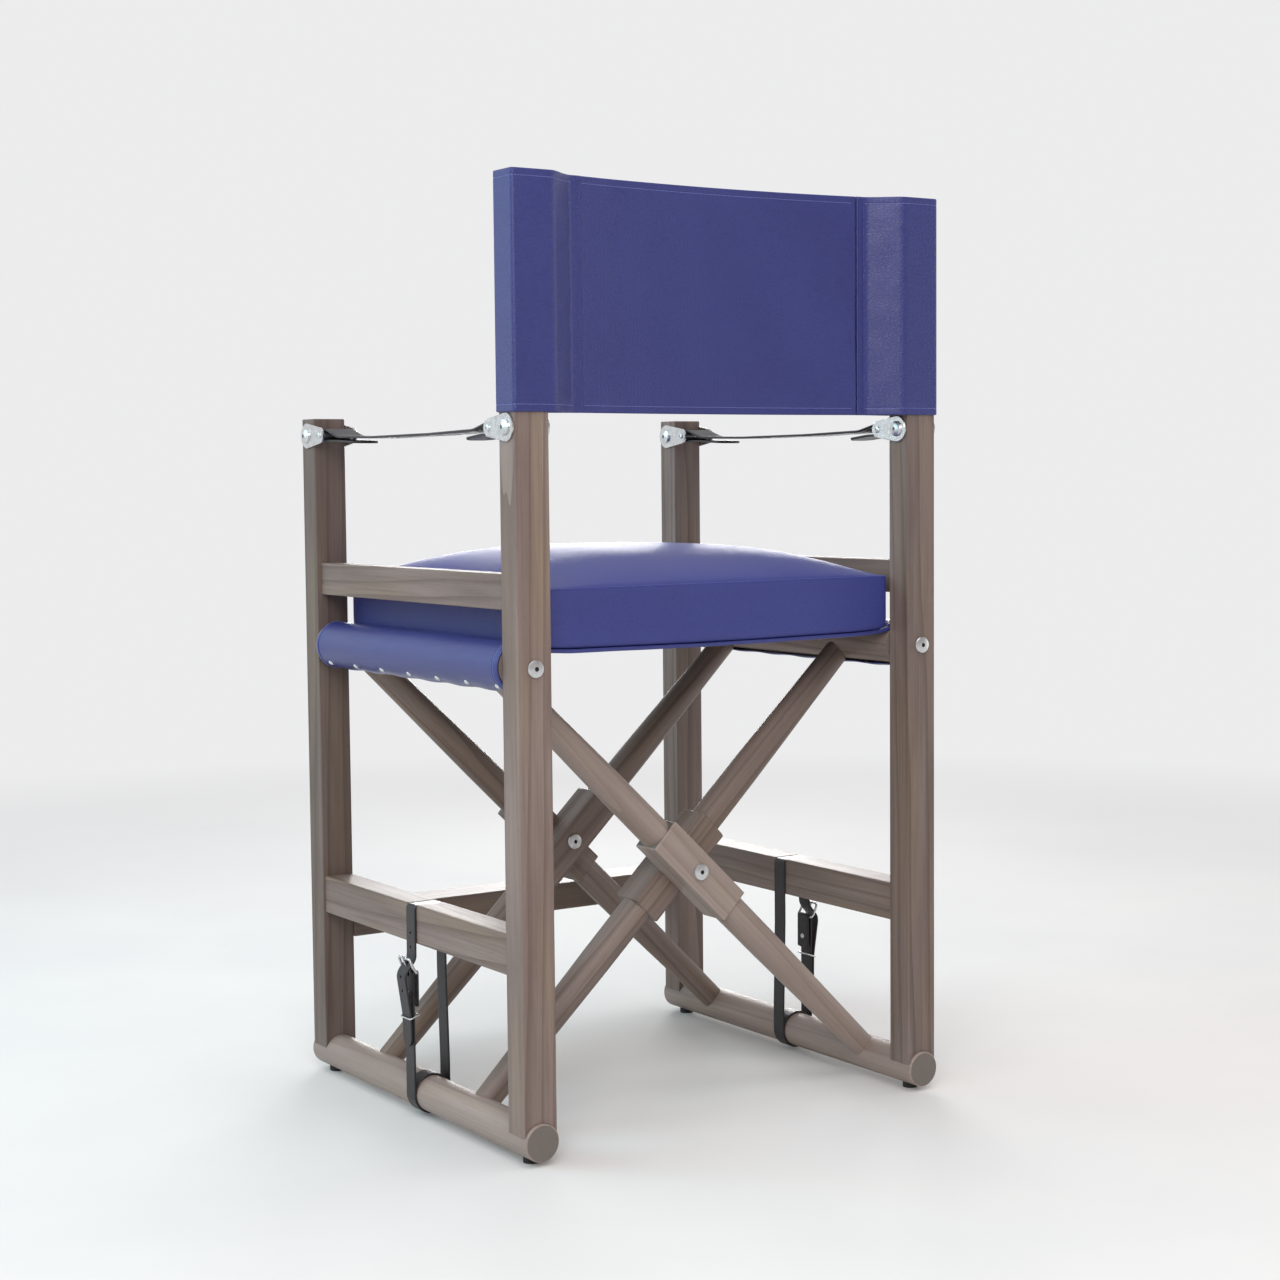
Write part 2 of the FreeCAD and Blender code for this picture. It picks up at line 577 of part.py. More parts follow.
# ---------------------------------------------------------------- assembly
def build():
    parts = {}

    side_pieces = {
        "front_post": post(True),
        "rear_post": post(False),
        "upper_side_rail": upper_rail(),
        "lower_stretcher": stretcher(),
        "front_shackle": shackle_plates(True),
        "rear_shackle": shackle_plates(False),
        "front_arm_bolt": arm_bolt(True),
        "rear_arm_bolt": arm_bolt(False),
        "front_arm_pin": arm_pin(True),
        "rear_arm_pin": arm_pin(False),
        "arm_strap": arm_strap(),
        "back_sleeve": back_sleeve(),
        "tie_buckle": tie_buckle(),
        "tie_prong": tie_prong(),
        "tie_keeper": tie_keeper(),
        "tie_rivet": tie_rivet(),
        "seat_bolts": seat_bolts(),
    }
    rivet = side_pieces["tie_rivet"]
    side_pieces["tie_strap"] = tie_strap().cut(rivet)

    # the outer frame has the left seat rail, the inner frame the right one
    legs = {}
    for name, sign in (("front", -1), ("rear", 1)):
        legs["outer_" + name + "_leg"] = leg(sign * OUTER_LEG_Y, 0.0)
        legs["inner_" + name + "_leg"] = mirrored(leg(sign * INNER_LEG_Y, RUNNING))

    feet = foot_blanks()
    holes = nail_holes()
    rail = seat_rail().cut(holes)
    wrap = rail_wrap().cut(holes)
    nails = Part.makeCompound([nail(y) for y in nail_positions()])
    dowel = floor_dowel()
    pads = Part.makeCompound([foot.cut(dowel) for foot in feet])

    left_wrap, right_wrap = wrap, mirrored(wrap)
    for name in ("front", "rear"):
        left_wrap = left_wrap.cut(legs["outer_" + name + "_leg"])
        right_wrap = right_wrap.cut(legs["inner_" + name + "_leg"])

    for name, shape in side_pieces.items():
        parts[name + "_left"] = shape
        parts[name + "_right"] = mirrored(shape)
    for name, shape in (("seat_rail", rail), ("seat_nails", nails), ("floor_dowel", dowel), ("feet", pads)):
        parts[name + "_left"] = shape
        parts[name + "_right"] = mirrored(shape)
    parts["seat_wrap_left"] = left_wrap
    parts["seat_wrap_right"] = right_wrap
    parts.update(legs)
    parts["pivot_bolt_front"] = pivot_bolt(-1)
    parts["pivot_bolt_rear"] = pivot_bolt(1)
    parts["back_panel"] = back_panel()
    parts["seat_sling"] = seat_sling().cut(wrap).cut(mirrored(wrap))
    parts["seat_cushion"] = seat_cushion()
    parts["footrest_board"] = footrest_board()
    return parts


def main():
    os.makedirs("parts", exist_ok=True)
    for old in os.listdir("parts"):
        os.remove(os.path.join("parts", old))
    for name, shape in sorted(build().items()):
        placed = shape.copy()
        placed.translate(V(0, Y_OFFSET, 0))
        if not placed.isValid():
            print("NOT VALID", name)
        placed.exportStep("parts/" + name + ".step")
        print("%-24s solids %d  volume %.0f" % (name, len(placed.Solids), placed.Volume))


main()
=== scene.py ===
"""The looks of a folding counter-height armchair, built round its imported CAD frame.

Wooden parts and hardware keep their CAD shapes and get procedural materials. Every leather piece
is modelled here: back, sleeves, sling, wrapped seat rolls, cushion, arm straps and buckled ties.
Lengths in the outlines are millimetres from the middle of the four posts; objects are in metres.
"""
import cmath
import math

import bpy
import numpy as np
from mathutils import Matrix, Vector, noise


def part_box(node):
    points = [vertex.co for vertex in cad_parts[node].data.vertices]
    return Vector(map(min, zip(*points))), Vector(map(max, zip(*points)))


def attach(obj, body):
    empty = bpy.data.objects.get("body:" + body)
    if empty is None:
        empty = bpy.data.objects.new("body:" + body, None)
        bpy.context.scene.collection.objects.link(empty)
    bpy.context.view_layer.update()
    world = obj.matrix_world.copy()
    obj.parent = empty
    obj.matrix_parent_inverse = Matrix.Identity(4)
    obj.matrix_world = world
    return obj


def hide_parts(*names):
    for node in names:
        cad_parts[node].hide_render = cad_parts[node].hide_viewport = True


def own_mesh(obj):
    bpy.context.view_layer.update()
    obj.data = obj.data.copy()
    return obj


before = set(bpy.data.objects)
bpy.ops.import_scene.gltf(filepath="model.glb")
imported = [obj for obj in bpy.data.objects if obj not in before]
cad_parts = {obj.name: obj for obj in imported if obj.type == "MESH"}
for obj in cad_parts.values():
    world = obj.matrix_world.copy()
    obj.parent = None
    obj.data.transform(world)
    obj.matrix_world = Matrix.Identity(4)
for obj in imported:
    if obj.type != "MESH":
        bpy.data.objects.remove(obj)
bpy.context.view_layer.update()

MM = 0.001
SIDES = ("left", "right")
X, Y, Z = (Vector(axis) for axis in ((1, 0, 0), (0, 1, 0), (0, 0, 1)))

# ---- places read from the frame, in millimetres about the middle of the posts ----
MID_Y = (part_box("front_post_left")[0].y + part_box("rear_post_left")[1].y) / 2


def extent(node):
    """Lowest and highest corner of a CAD node in millimetres, y counted from the posts' middle."""
    low, high = (np.array(corner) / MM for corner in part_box(node))
    shift = np.array((0, MID_Y / MM, 0))
    return low - shift, high - shift


def middle(node):
    low, high = extent(node)
    return (low + high) / 2


def round_radius(node):
    """The radius of a round bar that lies level."""
    low, high = extent(node)
    return (high - low)[2] / 2


POST_LOW, POST_HIGH = extent("rear_post_left")
RAIL_CENTRE, RAIL_R = middle("seat_rail_left"), round_radius("seat_rail_left")
DOWEL_CENTRE, DOWEL_R = middle("floor_dowel_left"), round_radius("floor_dowel_left")
STRETCHER_LOW, STRETCHER_HIGH = extent("lower_stretcher_left")
PANEL_LOW, PANEL_HIGH = extent("back_panel")
SLEEVE_LOW, SLEEVE_HIGH = extent("back_sleeve_left")
WRAP_LOW, WRAP_HIGH = extent("seat_wrap_left")
ARM_LOW, ARM_HIGH = extent("arm_strap_left")
TIE_LOW, TIE_HIGH = extent("tie_strap_left")
TIE_Y = middle("tie_strap_left")[1]
PIN_CENTRE = middle("rear_arm_pin_left")

# ---- leather sizes ----
LEATHER = 3.0            # blue leather and arm straps
TIE = 2.5                # tie straps
GAP = 0.1                # between leather and what it lies on
HEM = 8.0                # stitch row to a hemmed edge
SEAM_X = SLEEVE_LOW[0]
SEAM_Y = 238.5
PANEL_BOW = 15.0
PIN_R = 5.0


# ---- paths ----
SHARPEST_BEND = 0.2      # radians between two points of a rounded corner


def unit(vector):
    return vector / np.linalg.norm(vector)


def bent_line(corners, step):
    """Points along a line whose (a, b, radius) corners are rounded; its ends are (a, b)."""
    spots = [complex(*corner[:2]) for corner in corners]
    points = [spots[0]]

    def run_to(end):
        start = points[-1]
        if abs(end - start) > 1e-3:
            count = math.ceil(abs(end - start) / step)
            points.extend(start + (end - start) * i / count for i in range(1, count + 1))

    for before, here, after, (_, _, radius) in zip(spots, spots[1:], spots[2:], corners[1:-1]):
        way = (here - before) / abs(here - before)
        turn = cmath.phase((after - here) / way)
        start = here - way * radius * math.tan(abs(turn) / 2)
        arm = way * radius * (-1j if turn > 0 else 1j)
        run_to(start)
        count = max(math.ceil(radius * abs(turn) / step), math.ceil(abs(turn) / SHARPEST_BEND), 1)
        points.extend(start - arm + arm * cmath.rect(1, turn * i / count) for i in range(1, count + 1))
    run_to(spots[-1])
    return np.array([(spot.real, spot.imag) for spot in points])


def xz_plane(a, b, w):
    return Vector((a * MM, w * MM + MID_Y, b * MM))


def yz_plane(a, b, w):
    return Vector((w * MM, a * MM + MID_Y, b * MM))


def xy_plane(a, b, w):
    return Vector((a * MM, b * MM + MID_Y, w * MM))


def bump(value, centre, half):
    """A smooth hump, 1 at centre and 0 beyond half."""
    share = min(abs(value - centre) / half, 1.0)
    return (1 - share * share) ** 2


def smooth_step(value, low, high):
    share = min(max((value - low) / (high - low), 0.0), 1.0)
    return share * share * (3 - 2 * share)


# ---- meshes ----
def new_object(name, verts, faces, smooth=True):
    mesh = bpy.data.meshes.new(name)
    mesh.from_pydata([tuple(v) for v in verts], [], faces)
    mesh.update()
    if smooth:
        mesh.polygons.foreach_set("use_smooth", [True] * len(mesh.polygons))
    obj = bpy.data.objects.new(name, mesh)
    bpy.context.scene.collection.objects.link(obj)
    return obj


def outward_normals(obj):
    """Turns a closed mesh right side out."""
    coords = np.array([v.co for v in obj.data.vertices])
    obj.data.calc_loop_triangles()
    tris = np.array([t.vertices for t in obj.data.loop_triangles])
    a, b, c = coords[tris[:, 0]], coords[tris[:, 1]], coords[tris[:, 2]]
    if np.einsum("ij,ij->i", a, np.cross(b, c)).sum() < 0:
        obj.data.flip_normals()
    return obj


def mirror_object(obj, name):
    """A mirrored copy of a left-hand piece for the right-hand side."""
    mesh = obj.data.copy()
    mesh.transform(Matrix.Scale(-1, 4, X))
    mesh.flip_normals()
    mesh.name = name
    twin = bpy.data.objects.new(name, mesh)
    bpy.context.scene.collection.objects.link(twin)
    return twin


def apply_modifier(obj, modifier):
    bpy.context.view_layer.update()
    shown = obj.evaluated_get(bpy.context.evaluated_depsgraph_get())
    mesh = bpy.data.meshes.new_from_object(shown)
    obj.modifiers.remove(modifier)
    obj.data = mesh


def circle(centre, first_arm, second_arm, count):
    """Points round a centre; the arms reach the first point and the one a quarter on."""
    turns = [2 * math.pi * k / count for k in range(count)]
    return [centre + first_arm * math.cos(turn) + second_arm * math.sin(turn) for turn in turns]


class Shell:
    """A mesh made of rings that all have the same number of points."""

    def __init__(self):
        self.verts = []
        self.faces = []

    def band(self, a, b, around, turn=0):
        """Faces between the rings that start at vertices a and b; turn shifts the second one."""
        for k in range(around):
            n = (k + 1) % around
            self.faces.append((a + k, a + n, b + (n + turn) % around, b + (k + turn) % around))

    def add(self, rings, tip=None, closed=False):
        """Joins rings in order. The ends get flat caps, or the last a tip, or they join up."""
        first, around = len(self.verts), len(rings[0])
        for ring in rings:
            self.verts += ring
        starts = list(range(first, len(self.verts), around))
        last = starts[-1]
        for a, b in zip(starts, starts[1:]):
            self.band(a, b, around)
        if closed:
            away = [(spot - rings[-1][0]).length for spot in rings[0]]
            self.band(last, first, around, int(np.argmin(away)))
            return
        self.faces.append(tuple(reversed(range(first, first + around))))
        if tip is None:
            self.faces.append(tuple(range(last, last + around)))
            return
        self.verts.append(tip)
        for k in range(around):
            self.faces.append((last + k, last + (k + 1) % around, len(self.verts) - 1))

    def piece(self, name, smooth=True):
        return outward_normals(new_object(name, self.verts, self.faces, smooth))


# ---- leather strips ----
PROBE = 0.4              # step along a surface that gives its directions
CLOSEST_ROWS = 0.12
RIM_GAP = 0.8            # from the rounded edge to the first even column


class Strip:
    """A leather strip with rounded edges that follows a bent line and is flat across its width.

    lift(s, w, side) moves the surface along its normal, in mm; side is 1 on the line's left.
    end_at(w) says where the strip ends along the line, for a cut-out edge. tongue holds the
    radii to which the two ends are rounded off.
    """

    def __init__(self, line, plane, width, thickness, lift=None, end_at=None, tongue=(0, 0)):
        self.line = line
        self.plane = plane
        self.width = width
        self.half = thickness / 2
        self.lift = lift or (lambda s, w, side: 0.0)
        steps = np.linalg.norm(np.diff(line, axis=0), axis=1)
        self.reach = np.concatenate([[0], np.cumsum(steps)])
        self.length = self.reach[-1]
        self.end_at = end_at or (lambda w: self.length)
        self.tongue = tongue
        tangents = np.gradient(line, axis=0)
        self.tangents = tangents / np.linalg.norm(tangents, axis=1)[:, None]

    def point(self, s, w, offset):
        spot = np.array([np.interp(s, self.reach, self.line[:, i]) for i in (0, 1)])
        way = unit(np.array([np.interp(s, self.reach, self.tangents[:, i]) for i in (0, 1)]))
        normal = np.array((-way[1], way[0]))
        spot = spot + normal * (offset + self.lift(s, w, 1 if offset >= 0 else -1))
        return self.plane(spot[0], spot[1], w)

    def surface(self, s, w, side):
        """A point on the surface with its directions along, across and outward."""
        offset = side * self.half
        spot = self.point(s, w, offset)
        along = (self.point(s + PROBE, w, offset) - spot).normalized()
        across = (self.point(s, w + PROBE, offset) - spot).normalized()
        outward = (spot - self.point(s, w, 0.0)).normalized()
        return spot, along, across, outward

    def taper(self, distance, radius):
        """How much of the width or thickness is left at a distance from a rounded end."""
        if radius <= 0 or distance >= radius:
            return 1.0
        return math.sqrt(max(1 - ((radius - distance) / radius) ** 2, 0.0))

    def rows(self, finer=()):
        """Positions along the strip, closer at its ends and at each (place, half-width) in finer."""
        rows = set(np.round(self.reach, 3))
        for share in (0.0, 0.08, 0.3, 0.6, 1.0, 1.6):
            rows.add(round(self.half * share, 3))
            rows.add(round(self.length - self.half * share, 3))
        for radius, start in ((self.tongue[0], True), (self.tongue[1], False)):
            for i in range(9 if radius else 0):
                away = radius * (1 - math.cos(math.pi / 2 * i / 8))
                rows.add(round(away if start else self.length - away, 3))
        for place, half in finer:
            rows.update(round(place + half * i / 4, 3) for i in range(-4, 5))
        ordered = sorted(r for r in rows if 0 <= r <= self.length)
        kept = [ordered[0]]
        for r in ordered[1:]:
            if r - kept[-1] > CLOSEST_ROWS:
                kept.append(r)
        kept[-1] = self.length
        return kept

    def section(self, step, finer=()):
        """(w, offset) points round the strip's cross-section."""
        w0, w1 = self.width
        rim = self.half * 0.95
        flat = w1 - w0 - 2 * (rim + RIM_GAP)
        inner = [w0 + rim, w0 + rim + RIM_GAP]
        count = max(int((w1 - w0) / step), 2)
        inner += [w0 + rim + RIM_GAP + flat * i / count for i in range(1, count)]
        for place, half in finer:
            inner = [w for w in inner if abs(w - place) > half * 1.1]
            inner += [place + half * i / 4 for i in range(-4, 5)]
        inner = sorted(inner + [w1 - rim - RIM_GAP, w1 - rim])
        turn = [(math.cos(a), math.sin(a)) for a in np.linspace(0, math.pi, 7)[1:-1]]
        loop = [(w, self.half) for w in inner]
        loop += [(w1 - rim + rim * s, self.half * c) for c, s in turn]
        loop += [(w, -self.half) for w in reversed(inner)]
        loop += [(w0 + rim - rim * s, -self.half * c) for c, s in turn]
        return loop

    def mesh(self, name, step=6.0, finer_rows=(), finer_columns=()):
        """The closed strip. Material 0 is its left face, 1 its right face and 2 its cut edges."""
        loop = self.section(step, finer_columns)
        centre = sum(self.width) / 2
        rings = []
        for s in self.rows(finer_rows):
            narrow = self.taper(s, self.tongue[0]) * self.taper(self.length - s, self.tongue[1])
            ring = []
            for w, offset in loop:
                spot = centre + (w - centre) * narrow
                reach = self.end_at(spot)
                run = s * reach / self.length
                thin = self.taper(run, self.half) * self.taper(reach - run, self.half)
                ring.append(self.point(run, spot, offset * max(thin, 0.02)))
            rings.append(ring)
        shell = Shell()
        shell.add(rings)
        left = [offset == self.half for _, offset in loop]
        right = [offset == -self.half for _, offset in loop]
        around = []
        for j in range(len(loop)):
            k = (j + 1) % len(loop)
            around.append(0 if left[j] and left[k] else 1 if right[j] and right[k] else 2)
        obj = shell.piece(name)
        slots = around * (len(rings) - 1) + [2, 2]
        obj.data.polygons.foreach_set("material_index", slots)
        return obj


# ---- thread and wire ----
THREAD_R = 0.36
STITCH = 3.4             # stitch pitch
STITCH_SPINE = ((-1.35, -0.45, 0.4), (-1.0, -0.08, 0.85), (-0.35, 0.1, 1.0),
                (0.35, 0.1, 1.0), (1.0, -0.08, 0.85), (1.35, -0.45, 0.4))


def stitches(name, places):
    """One mesh of stitches. places holds (point, along, outward) for each."""
    shell = Shell()
    for spot, along, outward in places:
        across = along.cross(outward).normalized()
        rings = []
        for run, height, size in STITCH_SPINE:
            centre = spot + along * (run * MM) + outward * (height * MM)
            reach = THREAD_R * size * MM
            rings.append(circle(centre, across * reach, outward * reach, 6))
        shell.add(rings)
    return shell.piece(name)


def stitch_row(strip, start, end, at, side=1, across=False):
    """Places for stitches along the strip at w = at, or across it at s = at."""
    places = []
    for i in range(int((end - start) / STITCH)):
        run = start + STITCH * (i + 0.5)
        spot, along, over, outward = strip.surface(*((at, run) if across else (run, at)), side)
        places.append((spot, over if across else along, outward))
    return places


def tube(name, points, radii, closed=False):
    """A round tube through points in metres, with one radius in mm per point."""
    rings = []
    count = len(points)
    reference = None
    for i, (spot, radius) in enumerate(zip(points, radii)):
        before = points[i - 1] if closed or i > 0 else spot
        after = points[(i + 1) % count] if closed or i < count - 1 else spot
        way = (after - before).normalized()
        reference = reference or way.orthogonal().normalized()
        reference = (reference - way * reference.dot(way)).normalized()
        reach = radius * MM
        rings.append(circle(spot, reference * reach, way.cross(reference) * reach, 12))
    shell = Shell()
    shell.add(rings, closed=closed)
    return shell.piece(name)


def ripple(point, scale, size):
    """A slow, fixed unevenness in mm at a point in mm."""
    return size * noise.noise(Vector(point) / scale)


# ---- materials ----
class Nodes:
    """Short hand for building one node tree, of a material or of the world."""

    def __init__(self, name, owners=None, shader="Principled BSDF"):
        self.owner = (bpy.data.materials if owners is None else owners).new(name)
        self.owner.use_nodes = True
        self.tree = self.owner.node_tree
        self.shader = self.tree.nodes[shader]

    def add(self, kind, inputs=None, **settings):
        node = self.tree.nodes.new("ShaderNode" + kind)
        for key, value in settings.items():
            setattr(node, key, value)
        for key, value in (inputs or {}).items():
            self.feed(node.inputs[key], value)
        return node

    def feed(self, socket, value):
        """Links a socket to another one, or sets it to a value; a colour may be hex sRGB."""
        if isinstance(value, bpy.types.NodeSocket):
            self.tree.links.new(value, socket)
        else:
            socket.default_value = linear(value) if isinstance(value, str) else value

    def place(self, scale=(1, 1, 1), rotation=(0, 0, 0), offset=(0, 0, 0)):
        """Object coordinates, turned, moved and scaled."""
        source = self.add("TexCoord").outputs["Object"]
        turned = self.add("Mapping", {"Vector": source, "Rotation": rotation, "Location": offset})
        return self.drawn(turned.outputs[0], scale)

    def drawn(self, vector, scale, **others):
        inputs = {"Vector": vector, "Scale": scale}
        return self.add("Mapping", {**inputs, **others}).outputs[0]

    def noise(self, vector, scale, detail=2.0, roughness=0.5):
        return self.add("TexNoise", {"Vector": vector, "Scale": scale, "Detail": detail,
                                     "Roughness": roughness}).outputs["Fac"]

    def creases(self, vector, scale, randomness):
        """Distance from the creases between the pebbles of a leather."""
        return self.add("TexVoronoi", {"Vector": vector, "Scale": scale, "Randomness": randomness},
                        feature="DISTANCE_TO_EDGE").outputs["Distance"]

    def math(self, operation, a, b=0.0):
        return self.add("Math", {0: a, 1: b}, operation=operation).outputs[0]

    def span(self, value, low, high, out_low=0.0, out_high=1.0):
        """value stretched from low..high to out_low..out_high, and held there."""
        return self.add("MapRange", {"Value": value, "From Min": low, "From Max": high,
                                     "To Min": out_low, "To Max": out_high}).outputs[0]

    def mix(self, share, a, b):
        node = self.add("Mix", data_type="RGBA")
        for socket, value in (("Factor", share), (6, a), (7, b)):
            self.feed(node.inputs[socket], value)
        return node.outputs[2]

    def blend(self, field, a, b, low=0.3, high=0.7):
        """Two colours, shared out by a field between its values low and high."""
        return self.mix(self.span(field, low, high), a, b)

    def bump(self, height, distance, strength=1.0):
        return self.add("Bump", {"Height": height, "Distance": distance,
                                 "Strength": strength}).outputs[0]

    def finish(self, **inputs):
        for key, value in inputs.items():
            self.feed(self.shader.inputs[key.replace("_", " ")], value)
        return self.owner


def linear(hexed):
    """A hex sRGB colour as linear RGBA."""
    values = [int(hexed[i:i + 2], 16) / 255 for i in (0, 2, 4)]
    return tuple(v / 12.92 if v <= 0.04045 else ((v + 0.055) / 1.055) ** 2.4 for v in values) + (1.0,)


# Colours a piece's wood is mixed towards for its tone: partly darker or paler wood, partly painted shade
# and painted light.
DARKER_TONE_AND_SHADE = (0.01, 0.006, 0.005, 1.0)
PALER_TONE_AND_LIGHT = (0.62, 0.53, 0.48, 1.0)


def wood(name, rotation, seed, tone_and_light=1.0):
    """Oiled grey-brown walnut. rotation turns the piece's grain onto Z. A tone below 1 darkens the piece
    and one above 1 makes it paler: partly the piece's own tone, partly painted shade and painted light.
    """
    n = Nodes(name)
    offset = (0.048 + 0.011 * seed, 0.033 - 0.013 * seed, 0.31 * seed)
    tilt = (0.22 * math.sin(2.4 * seed), 0.26 * math.cos(1.7 * seed), 0.0)
    even = n.place(rotation=rotation, offset=offset)
    slow = n.drawn(even, (1, 1, 0.1), Rotation=tilt)
    fibre = n.drawn(even, (1, 1, 0.02))
    dash = n.drawn(even, (1, 1, 0.06))
    sway = n.add("TexNoise", {"Vector": slow, "Scale": 13.0, "Detail": 2.0}).outputs["Color"]
    pushed = n.add("VectorMath", {0: sway, "Scale": 0.03}, operation="SCALE").outputs[0]
    figure = n.add("VectorMath", {0: slow, 1: pushed}, operation="ADD").outputs[0]
    rings = n.add("TexWave", {"Vector": figure, "Scale": 19.0, "Distortion": 1.1, "Detail": 2.0,
                              "Detail Scale": 1.3}, wave_type="RINGS", rings_direction="Z",
                  wave_profile="SAW").outputs["Fac"]
    elsewhere = n.drawn(figure, (1, 1, 1), Location=(3.1, 1.7, 0.4))
    streaks = n.noise(fibre, 330.0, 3.0, 0.6)
    pores = n.span(n.noise(dash, 1300.0, 1.0, 0.4), 0.63, 0.74)
    body = n.blend(n.noise(figure, 34.0, 2.0, 0.55), "6f6059", "8c7d76", 0.34, 0.66)
    layers = (               # a field, where it starts and is full, its share and colour
        (n.noise(even, 7.0), 0.3, 0.7, 0.4, "84706b"),
        (n.noise(elsewhere, 42.0, 1.0, 0.4), 0.48, 0.7, 0.46, "8a7862"),
        (rings, 0.68, 1.0, 0.62, "5a4840"),
        (streaks, 0.46, 0.74, 0.4, "5f4f46"),
        (pores, 0.0, 1.0, 0.2, "45372f"),
    )
    for field, low, high, share, colour in layers:
        body = n.mix(n.span(field, low, high, 0.0, share), body, colour)
    # painted shade and painted light, mixed in with the piece's own tone
    if tone_and_light < 1:
        body = n.mix(1 - tone_and_light, body, DARKER_TONE_AND_SHADE)
    if tone_and_light > 1:
        body = n.mix(tone_and_light - 1, body, PALER_TONE_AND_LIGHT)
    facing = n.add("Mapping", {"Vector": n.add("TexCoord").outputs["Normal"], "Rotation": rotation})
    along = n.add("SeparateXYZ", {0: facing.outputs[0]}).outputs["Z"]
    end_grain = n.span(n.math("ABSOLUTE", along), 0.86, 0.97)
    ends = n.blend(n.noise(even, 1400.0, 2.0, 0.6), "68615c", "736c67", 0.35, 0.7)
    grain = n.math("SUBTRACT", n.math("MULTIPLY", streaks, 0.5), pores)
    rough = n.span(n.math("ADD", streaks, n.math("MULTIPLY", pores, 0.4)), 0.3, 1.1, 0.46, 0.66)
    return n.finish(Base_Color=n.mix(end_grain, body, ends), Roughness=rough,
                    Normal=n.bump(grain, 0.00008, 0.4), Specular_IOR_Level=0.42)


def blue_leather(name, stretch=(1, 1, 1), grain=1.0, dullness=0.0, tones=("2a3076", "303a82")):
    """Pebbled full-grain leather; a stretch below 1 draws the grain out along that axis."""
    n = Nodes(name)
    drawn = n.place(stretch)
    crease = n.creases(drawn, 640.0, 0.85)
    fine = n.noise(drawn, 2600.0, 2.0, 0.6)
    cloudy = n.noise(n.place(), 9.0, 3.0, 0.55)
    body = n.blend(cloudy, *tones)
    # painted shade: the leather is darker in the creases between the pebbles
    body = n.mix(n.span(crease, 0.0, 0.12, 0.5, 0.0), body, "1b1e58")
    height = n.math("ADD", n.span(crease, 0.0, 0.25), n.math("MULTIPLY", fine, 0.35))
    rough = n.math("ADD", n.span(cloudy, 0.3, 0.7, 0.36 + dullness, 0.43 + dullness),
                   n.math("MULTIPLY", fine, 0.08))
    return n.finish(Base_Color=body, Roughness=rough, Normal=n.bump(height, 0.00036 * grain, 0.6),
                    Specular_IOR_Level=0.5, Coat_Weight=0.2 - dullness, Coat_Roughness=0.3)


def flesh_side(name):
    """The dark napped back of the sling's leather, also the rolls' inner face; its near-black colour is
    partly the leather's own and partly painted shade.
    """
    n = Nodes(name)
    nap = n.noise(n.place(), 2400.0, 4.0, 0.7)
    cloudy = n.noise(n.place(), 60.0, 2.0, 0.6)
    body = n.mix(n.span(cloudy, 0.3, 0.7, 0.0, 0.4), n.blend(nap, "17161d", "2b2933"), "211f27")
    return n.finish(Base_Color=body, Roughness=n.span(nap, 0.3, 0.7, 0.8, 0.95),
                    Normal=n.bump(nap, 0.0003, 0.6), Specular_IOR_Level=0.2)


def cut_edge(name, dark, light):
    """The waxed edge of a leather strip, with its layers showing faintly; the lighter blue edge also
    carries a painted highlight.
    """
    n = Nodes(name)
    layers = n.noise(n.place(), 1700.0, 3.0, 0.6)
    return n.finish(Base_Color=n.blend(layers, dark, light),
                    Roughness=n.span(layers, 0.3, 0.7, 0.3, 0.45),
                    Normal=n.bump(layers, 0.00008, 0.4))


def black_leather(name):
    n = Nodes(name)
    even = n.place()
    cloudy = n.noise(even, 40.0, 3.0, 0.6)
    fine = n.noise(even, 2600.0, 2.0, 0.6)
    pebbles = n.span(n.creases(even, 1300.0, 0.9), 0.0, 0.2)
    height = n.math("ADD", pebbles, n.math("MULTIPLY", fine, 0.5))
    return n.finish(Base_Color=n.blend(cloudy, "1b181b", "2a2529"),
                    Roughness=n.span(cloudy, 0.25, 0.75, 0.33, 0.46),
                    Normal=n.bump(height, 0.00012, 0.4), Specular_IOR_Level=0.42)


def thread(name, colour):
    n = Nodes(name)
    twist = n.add("TexWave", {"Vector": n.place(), "Scale": 700.0, "Distortion": 2.0},
                  bands_direction="DIAGONAL").outputs["Fac"]
    body = n.mix(n.span(twist, 0.2, 0.8, 0.0, 0.35), colour, "2d3078")
    return n.finish(Base_Color=body, Roughness=0.62, Normal=n.bump(twist, 0.0001, 0.6))


def steel(name, roughness=0.2):
    n = Nodes(name)
    haze = n.noise(n.place(), 180.0, 3.0, 0.6)
    scratch = n.noise(n.place((1, 1, 0.06)), 2600.0, 2.0, 0.6)
    rough = n.math("ADD", n.span(haze, 0.3, 0.7, roughness, roughness + 0.1),
                   n.math("MULTIPLY", scratch, 0.08))
    return n.finish(Base_Color=n.blend(haze, "c6c7c9", "d9dadb"), Roughness=rough, Metallic=1.0,
                    Normal=n.bump(scratch, 0.00003, 0.35))


def rubber(name):
    n = Nodes(name)
    speck = n.noise(n.place(), 900.0, 3.0, 0.6)
    return n.finish(Base_Color=n.blend(speck, "1c1b1b", "2b2928", 0.4, 0.7),
                    Roughness=n.span(speck, 0.3, 0.7, 0.7, 0.85), Normal=n.bump(speck, 0.0001, 0.5))


SKY = (0.955, 0.955, 0.965, 1.0)         # the bright side of the room, beyond the chair
ROOM = (0.44, 0.42, 0.40, 1.0)           # the dimmer side
SKY_STRENGTH = 0.88


